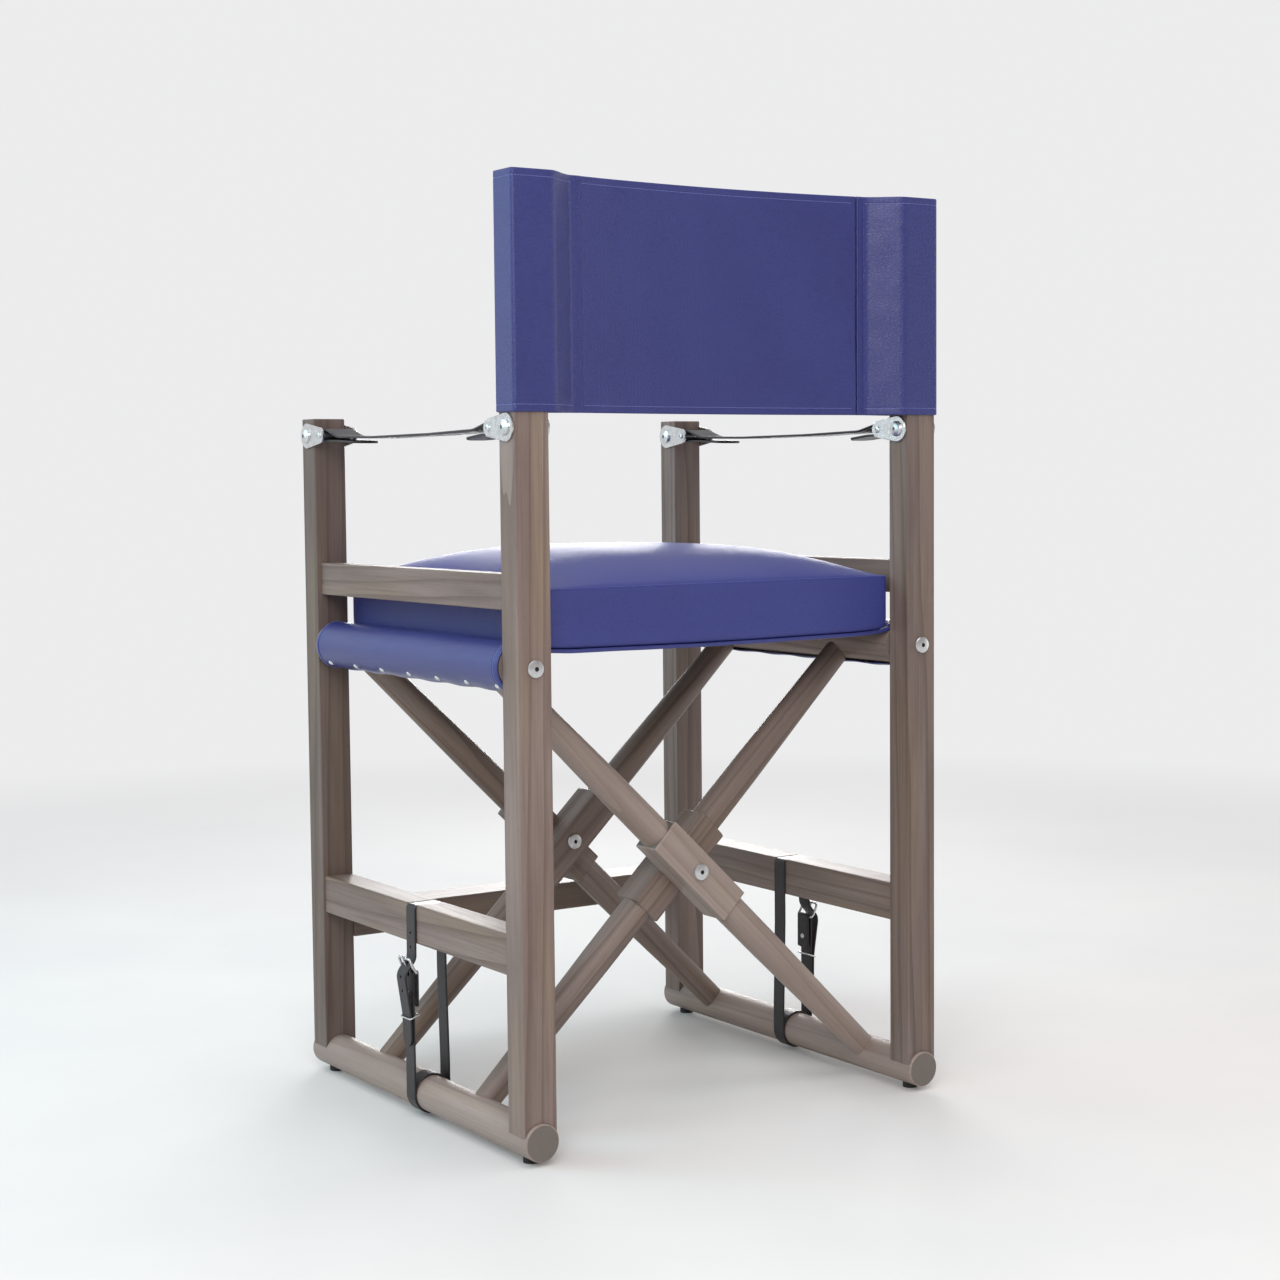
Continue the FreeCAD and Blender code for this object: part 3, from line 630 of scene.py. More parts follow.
def floor_material():
    """A matt pale floor that fades into the background's own colour far from the chair."""
    n = Nodes("pale_floor")
    cloudy = n.noise(n.place(), 1.4, 4.0, 0.55)
    n.finish(Base_Color=n.blend(cloudy, "d3d1d1", "dbd9d7"), Roughness=0.85, Specular_IOR_Level=0.2)
    place = n.add("TexCoord").outputs["Object"]
    away = n.add("VectorMath", {0: place}, operation="LENGTH").outputs["Value"]
    glow = n.add("Emission", {"Color": SKY, "Strength": SKY_STRENGTH})
    fade = n.add("MixShader", {0: n.span(away, 1.1, 3.4), 1: n.shader.outputs[0], 2: glow.outputs[0]})
    n.feed(n.tree.nodes["Material Output"].inputs["Surface"], fade.outputs[0])
    return n.owner


# near-black back of the leather: partly its own colour, partly painted shade under the sling and inside the
# rolls
FLESH_AND_SHADE = flesh_side("flesh_side")
# The sling's cut edges, lighter than its leather: partly the edge's own lighter colour, partly a painted
# highlight along them.
BLUE_EDGE_AND_HIGHLIGHT = cut_edge("blue_edge", "4d5089", "7174a6")
BLACK_EDGE = cut_edge("black_edge", "121013", "1f1c20")
BLUE = [blue_leather("blue_leather")] * 2 + [BLUE_EDGE_AND_HIGHLIGHT]
BACK = [blue_leather("back_leather_grain", (0.3, 0.3, 0.8), grain=1.5, tones=("262c70", "2a3276"))] * 3
SEAT = [blue_leather("seat_leather_grain", (0.8, 0.8, 0.8), dullness=0.1, tones=("2c337c", "313a84"))]
SLING = [FLESH_AND_SHADE, BLUE[0], BLUE_EDGE_AND_HIGHLIGHT]
ROLL = [blue_leather("roll_leather", dullness=-0.1, tones=("1f2c74", "24327c")), FLESH_AND_SHADE, BLACK_EDGE]
BLACK = [black_leather("black_leather")] * 2 + [BLACK_EDGE]
BLUE_THREAD = thread("blue_thread", "7f88c8")
SEAT_THREAD = thread("seat_thread", "5f66b4")
NAVY_THREAD = thread("navy_thread", "33397f")
STEEL = steel("polished_steel", 0.16)
SATIN = steel("satin_steel", 0.26)
RUBBER = rubber("rubber")


def paint(obj, look):
    """look is one material, or the three of a strip. Faces keep their material numbers."""
    wanted = look if isinstance(look, list) else [look]
    slots = obj.data.materials
    for index in range(max(len(slots), len(wanted))):
        material = wanted[min(index, len(wanted) - 1)]
        if index < len(slots):
            slots[index] = material
        else:
            slots.append(material)
    return obj


# ---- carried-over CAD nodes ----
UPRIGHT = (0, 0, 0)
LENGTHWISE = (math.pi / 2, 0, 0)       # grain along Y
CROSSWISE = (0, -math.pi / 2, 0)       # grain along X
LEG_LEAN = math.atan2(RAIL_CENTRE[0], (RAIL_CENTRE[2] - DOWEL_CENTRE[2]) / 2)

GRAIN = {                              # how each family of parts is turned onto its grain
    "front_post": UPRIGHT, "rear_post": UPRIGHT, "upper_side_rail": LENGTHWISE,
    "lower_stretcher": LENGTHWISE, "seat_rail": LENGTHWISE, "floor_dowel": LENGTHWISE,
    "outer_front_leg": (0, -LEG_LEAN, 0), "outer_rear_leg": (0, -LEG_LEAN, 0),
    "inner_front_leg": (0, LEG_LEAN, 0), "inner_rear_leg": (0, LEG_LEAN, 0),
    "footrest_board": CROSSWISE,
}
# Per-piece tone of the wood, partly its own and partly painted light: the front left post, right rear post,
# footrest and front legs are darkened as painted shade where the chair shades them, and the dowels and
# outer rear leg are paled as painted light where light falls on them.
TONES_AND_PAINTED_LIGHT = {
    "front_post_left": 0.62, "front_post_right": 0.85, "rear_post_right": 0.76, "footrest_board": 0.72,
    "floor_dowel_left": 1.18, "floor_dowel_right": 1.16, "lower_stretcher_left": 0.84,
    "lower_stretcher_right": 0.84, "upper_side_rail_left": 0.86, "upper_side_rail_right": 0.94,
    "outer_rear_leg": 1.2, "inner_rear_leg": 0.9, "inner_front_leg": 0.86, "outer_front_leg": 0.9,
}


def dress_cad_nodes():
    for seed, (name, node) in enumerate(sorted(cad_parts.items())):
        family = name.replace("_left", "").replace("_right", "")
        if family in GRAIN:
            paint(node, wood("wood_" + name, GRAIN[family], seed, TONES_AND_PAINTED_LIGHT.get(name, 1.0)))
        elif family == "feet":
            paint(node, RUBBER)
        elif "shackle" in family or "nails" in family:
            paint(node, STEEL)
        else:
            paint(node, SATIN)


# ---- back ----
def panel_line():
    edge = SEAM_X - 0.4
    radius = (edge ** 2 + PANEL_BOW ** 2) / (2 * PANEL_BOW)
    meeting = SEAM_Y - edge * math.tan(math.asin(edge / radius))
    return bent_line([(edge, SEAM_Y), (0, meeting, radius), (-edge, SEAM_Y)], 5.0)


def hem_rows(low, high, hem=HEM):
    return (low + hem, high - hem)


def groove(value, places, depth=0.32, half=1.5):
    """The dent that a row of stitches at each place pulls into the leather."""
    return -depth * max(bump(value, place, half) for place in places)


def rows_both_sides(strip, rows):
    """Places for stitches along the whole strip, on both of its faces."""
    places = []
    for side in (1, -1):
        for w in rows:
            places += stitch_row(strip, 3.0, strip.length - 3.0, w, side)
    return places


def paint_rims(obj, low, high, depth, slot):
    """Gives the faces near the two long edges of a sheet across the chair another material."""
    for face in obj.data.polygons:
        w = (face.center.y - MID_Y) / MM
        if min(w - low, high - w) < depth:
            face.material_index = slot


def back_panel():
    low, high = PANEL_LOW[2], PANEL_HIGH[2]
    rows = hem_rows(low, high)

    def lift(s, w, side):
        slack = ripple((s, w, 7.0), 90.0, 1.1) + ripple((s, w, 31.0), 35.0, 0.25)
        return slack + side * groove(w, rows)

    strip = Strip(panel_line(), xy_plane, (low, high), LEATHER, lift)
    panel = strip.mesh("back_leather", 6.0, finer_columns=[(w, 1.6) for w in rows])
    return panel, stitches("back_leather_thread", rows_both_sides(strip, rows)), strip.length


def sleeve_line():
    half = LEATHER / 2 + GAP
    corner = 1.5 + half
    outer = POST_HIGH[0] + half
    rear, front = POST_HIGH[1] + half, POST_LOW[1] - half
    corners = [(SEAM_X, SEAM_Y + half), (207.5, SEAM_Y + half, 14), (243, rear, 16)]
    corners += [(outer, rear, corner), (outer, front, corner), (249, front, 60)]
    corners += [(205, SEAM_Y - half, 60), (SEAM_X, SEAM_Y - half)]
    return bent_line(corners, 3.0)


SEAM_ROWS = (3.2, 9.6)   # upright stitch rows, from the sleeve's edge


def back_sleeve():
    low, high = SLEEVE_LOW[2], SLEEVE_HIGH[2]
    rows = hem_rows(low, high)
    line = sleeve_line()
    length = float(np.linalg.norm(np.diff(line, axis=0), axis=1).sum())
    seams = SEAM_ROWS + tuple(length - s for s in SEAM_ROWS)

    def lift(s, w, side):
        loose = bump(s, 32.0, 26.0) + bump(s, length - 40.0, 36.0)
        slack = loose * (ripple((s, w, 3.0), 26.0, 0.9) + 0.5)
        pinch = bump(s, 30.0, 15.0) * (bump(w, high, 26.0) + bump(w, low, 20.0))
        dent = min(groove(w, rows), groove(s, seams))
        return slack - 1.3 * pinch + side * dent

    strip = Strip(line, xy_plane, (low, high), LEATHER, lift)
    sleeve = strip.mesh("back_sleeve_skin_left", 6.0, finer_rows=[(s, 1.6) for s in seams],
                        finer_columns=[(w, 1.6) for w in rows])
    along, upright = [], []
    for w in rows:
        along += stitch_row(strip, 12.0, length - 12.0, w)
    for s in seams:
        upright += stitch_row(strip, low + 3.0, high - 3.0, s, across=True)
    hems = stitches("back_sleeve_thread_left", along)
    return sleeve, hems, stitches("back_seam_thread_left", upright), length


# ---- seat ----
def sling_line():
    """The sagging sling from rail to rail, level in the chair's depth."""
    half = [(254.0, 567.5), (241, 564.0, 40), (205, 562.0, 200), (110, 561.0, 800), (40, 560.4, 400)]
    mirrored = [(-x, z, r) for x, z, r in reversed(half[1:])]
    return bent_line(half + mirrored + [(-half[0][0], half[0][1])], 5.0)


def seat_sling():
    low, high = WRAP_LOW[1], WRAP_HIGH[1]
    rows = hem_rows(low, high, HEM + 2)

    def lift(s, w, side):
        edge = max(bump(w, low, 13.0), bump(w, high, 13.0))
        turned = 0.9 * smooth_step(edge, 0.0, 0.25)
        return ripple((s, w, 17.0), 70.0, 0.5) + side * (turned + groove(w, rows))

    strip = Strip(sling_line(), xz_plane, (low, high), LEATHER, lift)
    fine = [(w, 1.6) for w in rows] + [(low + 10, 4.0), (high - 10, 4.0)]
    sling = strip.mesh("seat_sling_leather", 8.0, finer_columns=fine)
    paint_rims(sling, low, high, HEM + 5, 1)
    return sling, stitches("seat_sling_thread", rows_both_sides(strip, rows)), strip.length


WRAP_FROM, WRAP_TO = -42.0, 200.0      # degrees from straight up, outward positive
WRAP_STITCH_TO = 188
LEG_NOTCH = 16.4                       # radius cut from the wrap round each leg
NAIL_ANGLE = 140.0
NAIL_COUNT = 7
NAIL_FIRST = -200.0
NAIL_PITCH = 69.2
NAIL_R = 4.0
NAIL_PROFILE = ((1.0, -0.5), (1.0, 0.2), (0.93, 0.75), (0.75, 1.3), (0.5, 1.75), (0.25, 2.0))
NAIL_TIP = 2.08


def seat_wrap():
    low, high = WRAP_LOW[1], WRAP_HIGH[1]
    radius = RAIL_R + LEATHER / 2 + 0.05
    line = []
    for angle in np.radians(np.linspace(WRAP_FROM, WRAP_TO, 60)):
        line.append((RAIL_CENTRE[0] + radius * math.sin(angle), RAIL_CENTRE[2] + radius * math.cos(angle)))
    hems = hem_rows(low, high, 9.5)
    legs = [middle(name)[1] for name in ("outer_front_leg", "outer_rear_leg")]
    lean = 180 + math.degrees(math.pi / 2 - LEG_LEAN)

    def end_at(w):
        end = WRAP_TO
        for leg in legs:
            away = abs(w - leg)
            if away < LEG_NOTCH:
                chord = math.sqrt(LEG_NOTCH ** 2 - away ** 2)
                end = min(end, lean - math.degrees(math.asin(chord / (RAIL_R + LEATHER))))
        return math.radians(end - WRAP_FROM) * radius

    def lift(s, w, side):
        angle = WRAP_FROM + math.degrees(s / radius)
        wave = 1 - math.cos(2 * math.pi * (w - NAIL_FIRST) / NAIL_PITCH)
        droop = 0.5 * wave * smooth_step(angle, 142.0, 185.0)
        if side < 0:
            return droop
        puff = 0.45 * wave * bump(angle, 150.0, 40.0)
        rolled = 0.5 * (smooth_step(low + 9.0 - w, 0.0, 2.0) + smooth_step(w - high + 9.0, 0.0, 2.0))
        turned = -1.6 * (bump(w, low, 4.5) + bump(w, high, 4.5))
        outer = puff + rolled + turned + 0.25 + ripple((s, w, 5.0), 45.0, 0.35)
        return droop + outer + groove(w, hems, 0.7, 1.4)

    strip = Strip(np.array(line), xz_plane, (low, high), LEATHER, lift, end_at)
    wrap = strip.mesh("seat_roll_leather_left", 4.0, finer_columns=[(w, 2.2) for w in hems])
    paint_rims(wrap, low, high, 2.0, 0)
    places = []
    for w in hem_rows(low, high, 7.0):
        places += stitch_row(strip, 14.0, math.radians(WRAP_STITCH_TO - WRAP_FROM) * radius, w)
    return wrap, stitches("seat_roll_thread_left", places), strip.length


def seat_nails():
    """Seven low-domed nail heads in one mesh, seated on the roll."""
    angle = math.radians(NAIL_ANGLE)
    outward = Vector((math.sin(angle), 0, math.cos(angle)))
    across = Y.cross(outward)
    seat = RAIL_R + LEATHER + GAP
    shell = Shell()
    for i in range(NAIL_COUNT):
        foot = xz_plane(RAIL_CENTRE[0], RAIL_CENTRE[2], NAIL_FIRST + NAIL_PITCH * i)
        foot = foot + outward * (seat * MM)
        rings = []
        for size, height in NAIL_PROFILE:
            reach = NAIL_R * size * MM
            rings.append(circle(foot + outward * (height * MM), Y * reach, across * reach, 20))
        shell.add(rings, tip=foot + outward * (NAIL_TIP * MM))
    return shell.piece("seat_nail_heads_left")


# ---- cushion ----
CUSHION_SEAM_Z = 631.5
CROWN = 41.0
UNFILLED = 0.85                              # share of the crown before it is swollen
CUSHION_CORNER = 7.0
CUSHION_HALF = np.array((248.0, 229.5))
CUSHION_MIDDLE = np.array((0.0, 2.5))
RIM_STEPS = (0.0, 2.6, 6.5, 13.0, 21.0)      # in from the rim, before the even rows
INNER_CELLS = 38
SIDE_DROPS = (2.6, 7.0, 16.0, 27.0, 39.0, 50.0)
BASE_GAP = 4.0                               # from the last drop to the lower edge
BASE_STEPS = (20, 40, 60, 80)                # degrees round the lower edge
BASE_ROUND = 7.0                             # radius of the side into the base
CUSHION_LIFT = 1.2                           # gap over the sling
FULLNESS = 3.4                               # how far the crown stays high towards its edges
RIM_ROUND = 0.78                             # below 1 the crown starts more steeply at its seam
PACKING = 0.75                               # share of that shape kept after the swelling
SIDE_PULL = 2.2
SEAM_SINK = 1.5
FILL_FRAMES = 20
FILL_CAP = 0.022                             # how far a point may move, in metres


def cushion_steps(half):
    rim = [half - step for step in RIM_STEPS]
    inner = np.linspace(-rim[-1], rim[-1], INNER_CELLS + 1)[1:-1]
    return [-r for r in rim] + list(inner) + list(reversed(rim))


def cushion_plan(x, y):
    """A point of the plan, in mm from the cushion's middle, with its corners rounded."""
    spot = np.array((x, y))
    inner = CUSHION_HALF - CUSHION_CORNER
    past = np.abs(spot) - inner
    if past[0] > 0 and past[1] > 0:
        pull = max(past) / math.hypot(*past)
        spot = np.sign(spot) * (inner + past * pull)
    return CUSHION_MIDDLE + spot


def sling_height(x):
    line = sling_line()
    order = np.argsort(line[:, 0])
    return float(np.interp(x, line[order, 0], line[order, 1])) + LEATHER / 2


def cushion_grid():
    """Vertices and faces of the unfilled cushion, the held vertices, its seam and top panel."""
    across, deep = (cushion_steps(half) for half in CUSHION_HALF)
    n = len(across) - 1
    cells = [(i, j) for i in range(n + 1) for j in range(n + 1)]
    verts, held = [], []
    top, bottom = {}, {}
    for i, j in cells:
        u, v = across[i] / CUSHION_HALF[0], deep[j] / CUSHION_HALF[1]
        arch = ((1 - abs(u) ** FULLNESS) * (1 - abs(v) ** FULLNESS)) ** RIM_ROUND
        top[i, j] = len(verts)
        height = CUSHION_SEAM_Z + UNFILLED * CROWN * arch
        verts.append((*cushion_plan(across[i], deep[j]), height))
        if i in (0, n) or j in (0, n):
            held.append(top[i, j])
    for i, j in cells:
        spot = cushion_plan(across[i], deep[j])
        spot = CUSHION_MIDDLE + (spot - CUSHION_MIDDLE) * (1 - BASE_ROUND / CUSHION_HALF)
        bottom[i, j] = len(verts)
        held.append(len(verts))
        verts.append((*spot, sling_height(spot[0]) + CUSHION_LIFT))
    faces = []
    for i in range(n):
        for j in range(n):
            faces.append((top[i, j], top[i + 1, j], top[i + 1, j + 1], top[i, j + 1]))
            faces.append((bottom[i, j], bottom[i, j + 1], bottom[i + 1, j + 1], bottom[i + 1, j]))
    rim = [(i, 0) for i in range(n)] + [(n, j) for j in range(n)]
    rim += [(i, n) for i in range(n, 0, -1)] + [(0, j) for j in range(n, 0, -1)]

    def side_point(i, j, drop, turn):
        """A point of the side: drop below the seam, or turn round the lower edge."""
        a, b = np.array(verts[top[i, j]]), np.array(verts[bottom[i, j]])
        spot = a.copy()
        share = 1.0
        if drop is not None:
            share = drop / (SIDE_DROPS[-1] + BASE_GAP)
            spot[2] = a[2] - (a[2] - b[2] - BASE_ROUND) * share
        else:
            spot[:2] += (b - a)[:2] * (1 - math.cos(turn))
            spot[2] = b[2] + BASE_ROUND * (1 - math.sin(turn))
        u, v = across[i] / CUSHION_HALF[0], deep[j] / CUSHION_HALF[1]
        pull = SIDE_PULL * math.sin(math.pi * share) * (1 - min(abs(u), abs(v)) ** 8)
        away = np.array((np.sign(u) * (i in (0, n)), np.sign(v) * (j in (0, n))))
        spot[:2] -= away * pull
        return tuple(spot)

    seam = [top[k] for k in rim]
    loops = [seam]
    rings = [(drop, 0.0) for drop in SIDE_DROPS] + [(None, math.radians(turn)) for turn in BASE_STEPS]
    for drop, turn in rings:
        first = len(verts)
        verts += [side_point(i, j, drop, turn) for i, j in rim]
        loops.append(list(range(first, len(verts))))
        held += loops[-1]
    loops.append([bottom[k] for k in rim])
    for above, below in zip(loops, loops[1:]):
        for k in range(len(rim)):
            m = (k + 1) % len(rim)
            faces.append((above[k], below[k], below[m], above[m]))
    return verts, faces, held, seam, list(top.values())


def fill_cushion(obj, held):
    """Swells the top panel with Cloth pressure between its pinned seams."""
    pinned = obj.vertex_groups.new(name="held")
    pinned.add(held, 1.0, "REPLACE")
    cloth = obj.modifiers.new("fill", "CLOTH")
    settings = {"quality": 8, "mass": 0.25, "tension_stiffness": 18, "compression_stiffness": 12,
                "shear_stiffness": 6, "bending_stiffness": 1.5, "vertex_group_mass": pinned.name,
                "use_pressure": True, "uniform_pressure_force": 4.0}
    for key, value in settings.items():
        setattr(cloth.settings, key, value)
    cloth.settings.effector_weights.gravity = 0.0
    cloth.point_cache.frame_start = 1
    cloth.point_cache.frame_end = FILL_FRAMES
    scene = bpy.context.scene
    for number in range(1, FILL_FRAMES + 1):
        scene.frame_set(number)
    shown = obj.evaluated_get(bpy.context.evaluated_depsgraph_get())
    filled = np.array([v.co for v in shown.data.vertices])
    obj.modifiers.remove(cloth)
    scene.frame_set(1)
    return filled


def seat_cushion():
    verts, faces, held, seam, panel = cushion_grid()
    obj = outward_normals(new_object("cushion_leather", [xy_plane(*v) for v in verts], faces))
    start = np.array([v.co for v in obj.data.vertices])
    shape = start.copy()
    shape = start + np.clip(fill_cushion(obj, held) - start, -FILL_CAP, FILL_CAP)
    seam_z = CUSHION_SEAM_Z * MM
    peak = max(shape[index][2] for index in panel) - seam_z
    rim = set(seam)
    for index in panel:
        if index not in rim:
            swollen = (shape[index][2] - seam_z) * CROWN * MM / peak
            packed = (start[index][2] - seam_z) / UNFILLED
            shape[index][2] = seam_z + swollen * (1 - PACKING) + packed * PACKING
            shape[index][2] += ripple(shape[index] / MM, 60.0, 0.5) * MM
    middle_point = np.array(xy_plane(*CUSHION_MIDDLE, CUSHION_SEAM_Z))
    for index in seam:
        shape[index] += unit(middle_point - shape[index]) * SEAM_SINK * MM
    obj.data.vertices.foreach_set("co", shape.astype(np.float32).ravel())
    obj.data.update()
    smooth = obj.modifiers.new("smooth", "SUBSURF")
    smooth.levels = smooth.render_levels = 1
    apply_modifier(obj, smooth)
    obj.data.polygons.foreach_set("use_smooth", [True] * len(obj.data.polygons))
    return obj, [Vector(shape[index]) for index in seam]


def dense(loop, step):
    """A closed loop of points with even spacing, in metres."""
    closed = loop + [loop[0]]
    reach = np.concatenate([[0], np.cumsum([(b - a).length for a, b in zip(closed, closed[1:])])])
    count = int(reach[-1] / (step * MM))
    spots = np.linspace(0, reach[-1], count, endpoint=False)
    values = np.array([tuple(p) for p in closed])
    return [Vector([np.interp(s, reach, values[:, i]) for i in range(3)]) for s in spots]


def cushion_thread(loop):
    """The stitches lying in the cushion's top seam."""
    points = dense(loop, STITCH)
    centre = sum(points, Vector()) / len(points)
    places = []
    for here, after in zip(points, points[1:] + points[:1]):
        along = (after - here).normalized()
        outward = along.cross(Z)
        if outward.dot(here - centre) < 0:
            outward = -outward
        outward = (outward + Z * 0.8).normalized()
        places.append((here.lerp(after, 0.5) + outward * (0.35 * MM), along, outward))
    return stitches("cushion_thread", places)


# ---- arm straps ----
def arm_strap():
    loop = PIN_R + GAP + LEATHER / 2
    pin_y, pin_z = PIN_CENTRE[1], PIN_CENTRE[2]
    reach, low, high = pin_y + loop, pin_z - loop, pin_z + loop
    corners = [(-123, 799.2), (-175, 801.6, 120), (-reach, low, loop), (-reach, high, loop)]
    corners += [(-203, high, 14), (-172, 806.4, 60), (-77, 804.3, 400), (60, 805.0, 900)]
    corners += [(167, 807.4, 60), (203, high, 14), (reach, high, loop), (reach, low, loop)]
    corners += [(185, 801.8, 90), (143.5, 797.6)]
    width = (ARM_LOW[0], ARM_HIGH[0])
    strip = Strip(bent_line(corners, 3.0), yz_plane, width, LEATHER, tongue=(13.0, 13.0))
    return strip.mesh("arm_strap_leather_left", 4.0), strip.length


# ---- bolt sockets: dark cups as painted shade ----
HEAD_FLOOR = 2.9         # the socket's floor below the top of the head
SOCKET_PROFILE = ((2.5, 0.1), (2.5, 1.6), (2.5, 1.9), (1.8, 1.5), (1.5, 0.3), (0.9, 0.2))
BOLT_BODIES = (("pivot_bolt_front", "outer_leg_frame"), ("pivot_bolt_rear", "outer_leg_frame"),
               ("seat_bolts_left", "outer_leg_frame"), ("seat_bolts_right", "inner_leg_frame"))


def shaded_socket_cup(name, floor, outward):
    """The inside of a driver socket that faces along Y, in dark rubber as painted shade: a shallow cup
    standing on its floor.
    """
    shell = Shell()
    rings = []
    for radius, height in SOCKET_PROFILE:
        centre = floor + Y * (outward * height * MM)
        rings.append(circle(centre, X * (radius * MM), Z * (radius * MM), 20))
    shell.add(rings)
    return shell.piece(name)


def bolt_sockets():
    """Dark cups in the heads of the pivot and seat bolts: painted shade in their sockets."""
    for name, body in BOLT_BODIES:
        low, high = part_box(name)
        x, z = (low[0] + high[0]) / 2, (low[2] + high[2]) / 2
        for end, y, outward in (("_a", low[1], -1), ("_b", high[1], 1)):
            floor = Vector((x, y - outward * HEAD_FLOOR * MM, z))
            # the dark rubber is painted shade inside the steel socket
            put(shaded_socket_cup("socket_" + name + end, floor, outward), body, RUBBER)


# ---- tie straps ----
HEEL = (292.2, 173.0)    # x and z of the buckle's heel bar
BUCKLE_TOP = (301.4, 191.0)
BUCKLE_HALF = 14.5
PRONG_TIP = (305.0, 194.4)
KEEPER_RISE = 2.2
HOLES_Z = (220.0, 203.0, 169.0, 152.0)
HOLE_R = 1.6
PRONG_HOLE_Z = 185.0


def tie_lines():
    """The strap from its chape's end round dowel and stretcher to its tail, and the lap round the dowel."""
    half = TIE / 2 + GAP
    x_in, x_out = STRETCHER_LOW[0], STRETCHER_HIGH[0]
    z_top = STRETCHER_HIGH[2] - 3.0 + half
    bend = 2.5 + half
    turn = DOWEL_R + half
    inner, outer = DOWEL_CENTRE[0] - turn, DOWEL_CENTRE[0] + turn
    wrap = 1.5 + half
    low = DOWEL_CENTRE[2] - turn
    path = [(HEEL[0] - wrap, 132), (HEEL[0] - wrap, HEEL[1] + wrap, wrap)]
    path += [(HEEL[0] + wrap, HEEL[1] + wrap, wrap), (HEEL[0] + wrap, 120, 300)]
    path += [(outer, 70, 300), (outer, low, turn), (inner, low, turn)]
    path += [(inner, 60, 300), (x_in - half, 170, 300)]
    path += [(x_in - half, z_top, bend), (x_out + half, z_top, bend)]
    path += [(x_out + half + 0.4, 189.5, 14), (306.4, 172, 15)]
    path += [(298.8, 122, 30), (298.2, 85)]
    high = DOWEL_CENTRE[2] + turn
    lap = [(outer - 0.3, DOWEL_CENTRE[2] - 6), (outer, DOWEL_CENTRE[2], 40), (outer, high, turn)]
    lap += [(inner, high, turn), (inner, DOWEL_CENTRE[2], 40), (inner + 0.3, DOWEL_CENTRE[2] - 6)]
    return bent_line(path, 2.5), bent_line(lap, 2.5)


def punch_holes(strap, y):
    """Cuts the buckle holes, the prong's hole and the chape's slot through the tie strap."""
    shell = Shell()

    def bore(x0, x1, z, half_y, half_z):
        arms = (Y * (half_y * MM), Z * (half_z * MM))
        shell.add([circle(xz_plane(x, z, y), *arms, 16) for x in (x0, x1)])

    for z in HOLES_Z:
        outer = STRETCHER_HIGH[0] if z > 200 else 299.0
        bore(outer - 2.0, outer + 14.0, z, HOLE_R, HOLE_R)
    bore(295.5, 304.0, PRONG_HOLE_Z, 2.0, 3.4)
    bore(HEEL[0] - 0.5, HEEL[0] + 5.5, HEEL[1] + 1.0, 3.4, 6.0)
    cutter = shell.piece("punch", smooth=False)
    cutter.data.materials.append(BLACK_EDGE)
    cut = strap.modifiers.new("punch", "BOOLEAN")
    cut.operation = "DIFFERENCE"
    cut.solver = "EXACT"
    cut.object = cutter
    apply_modifier(strap, cut)
    bpy.data.objects.remove(cutter)


def tie_strap():
    line, lap_line = tie_lines()
    width = (TIE_LOW[1], TIE_HIGH[1])
    strip = Strip(line, xz_plane, width, TIE, tongue=(2.0, 11.0))
    main = paint(strip.mesh("tie_strap_leather_left", 3.0), BLACK)
    punch_holes(main, TIE_Y)
    ring = Strip(lap_line, xz_plane, width, TIE).mesh("tie_lap_leather_left", 3.0)
    return main, ring, strip.length


def tie_buckle():
    """A wire buckle frame with rounded corners, its heel bar in the chape's fold."""
    lean = np.array(BUCKLE_TOP) - np.array(HEEL)
    height = np.linalg.norm(lean)
    lean = lean / height
    half = BUCKLE_HALF
    outline = bent_line([(0, 0), (half, 0, 3.0), (half, height, 4.0), (-half, height, 4.0),
                         (-half, 0, 3.0), (0, 0)], 2.0)[:-1]
    points = []
    for across, up in outline:
        bow = 1.2 * math.sin(math.pi * min(max(up / height, 0), 1))
        x = HEEL[0] + lean[0] * up + bow * lean[1]
        z = HEEL[1] + lean[1] * up - bow * lean[0]
        points.append(xz_plane(x, z, TIE_Y + across))
    return tube("tie_buckle_wire_left", points, [1.6] * len(points), closed=True)


def tie_prong():
    """The prong, bowed and tapered to its tip, and the barrel that turns on the heel bar."""
    tip, start = np.array(PRONG_TIP), np.array(HEEL)
    way = unit(tip - start)
    points, radii = [], []
    for share in np.linspace(0, 1, 14):
        bow = 1.5 * math.sin(math.pi * share)
        spot = start + (tip - start) * share + bow * np.array((way[1], -way[0]))
        points.append(xz_plane(*spot, TIE_Y))
        radii.append(1.35 - 0.35 * share if share < 0.97 else 0.6)
    tongue = tube("tie_prong_wire_left", points, radii)
    barrel_points = [xz_plane(*HEEL, TIE_Y + y) for y in (-2.6, -2.2, 0, 2.2, 2.6)]
    return tongue, tube("tie_prong_barrel_left", barrel_points, [2.2, 2.8, 2.8, 2.8, 2.2])


def tie_keeper():
    """A wire loop round the strap, its inner side higher."""
    low, high = extent("tie_keeper_left")
    (x0, y0, _), (x1, y1, _) = low + 1.0, high - 1.0
    outline = bent_line([(x0 + 5, y0), (x1, y0, 2.2), (x1, y1, 2.2), (x0, y1, 2.2), (x0, y0, 2.2),
                         (x0 + 5, y0)], 2.0)[:-1]
    points = []
    for x, y in outline:
        z = (low[2] + high[2]) / 2 + KEEPER_RISE * (1 - 2 * (x - x0) / (x1 - x0))
        points.append(xy_plane(x, y, z))
    return tube("tie_keeper_wire_left", points, [1.0] * len(points), closed=True)


# ---- assembly ----
def put(obj, body, material, stands_for=()):
    paint(obj, material)
    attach(obj, body)
    for node in stands_for:
        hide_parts(node)
    return obj


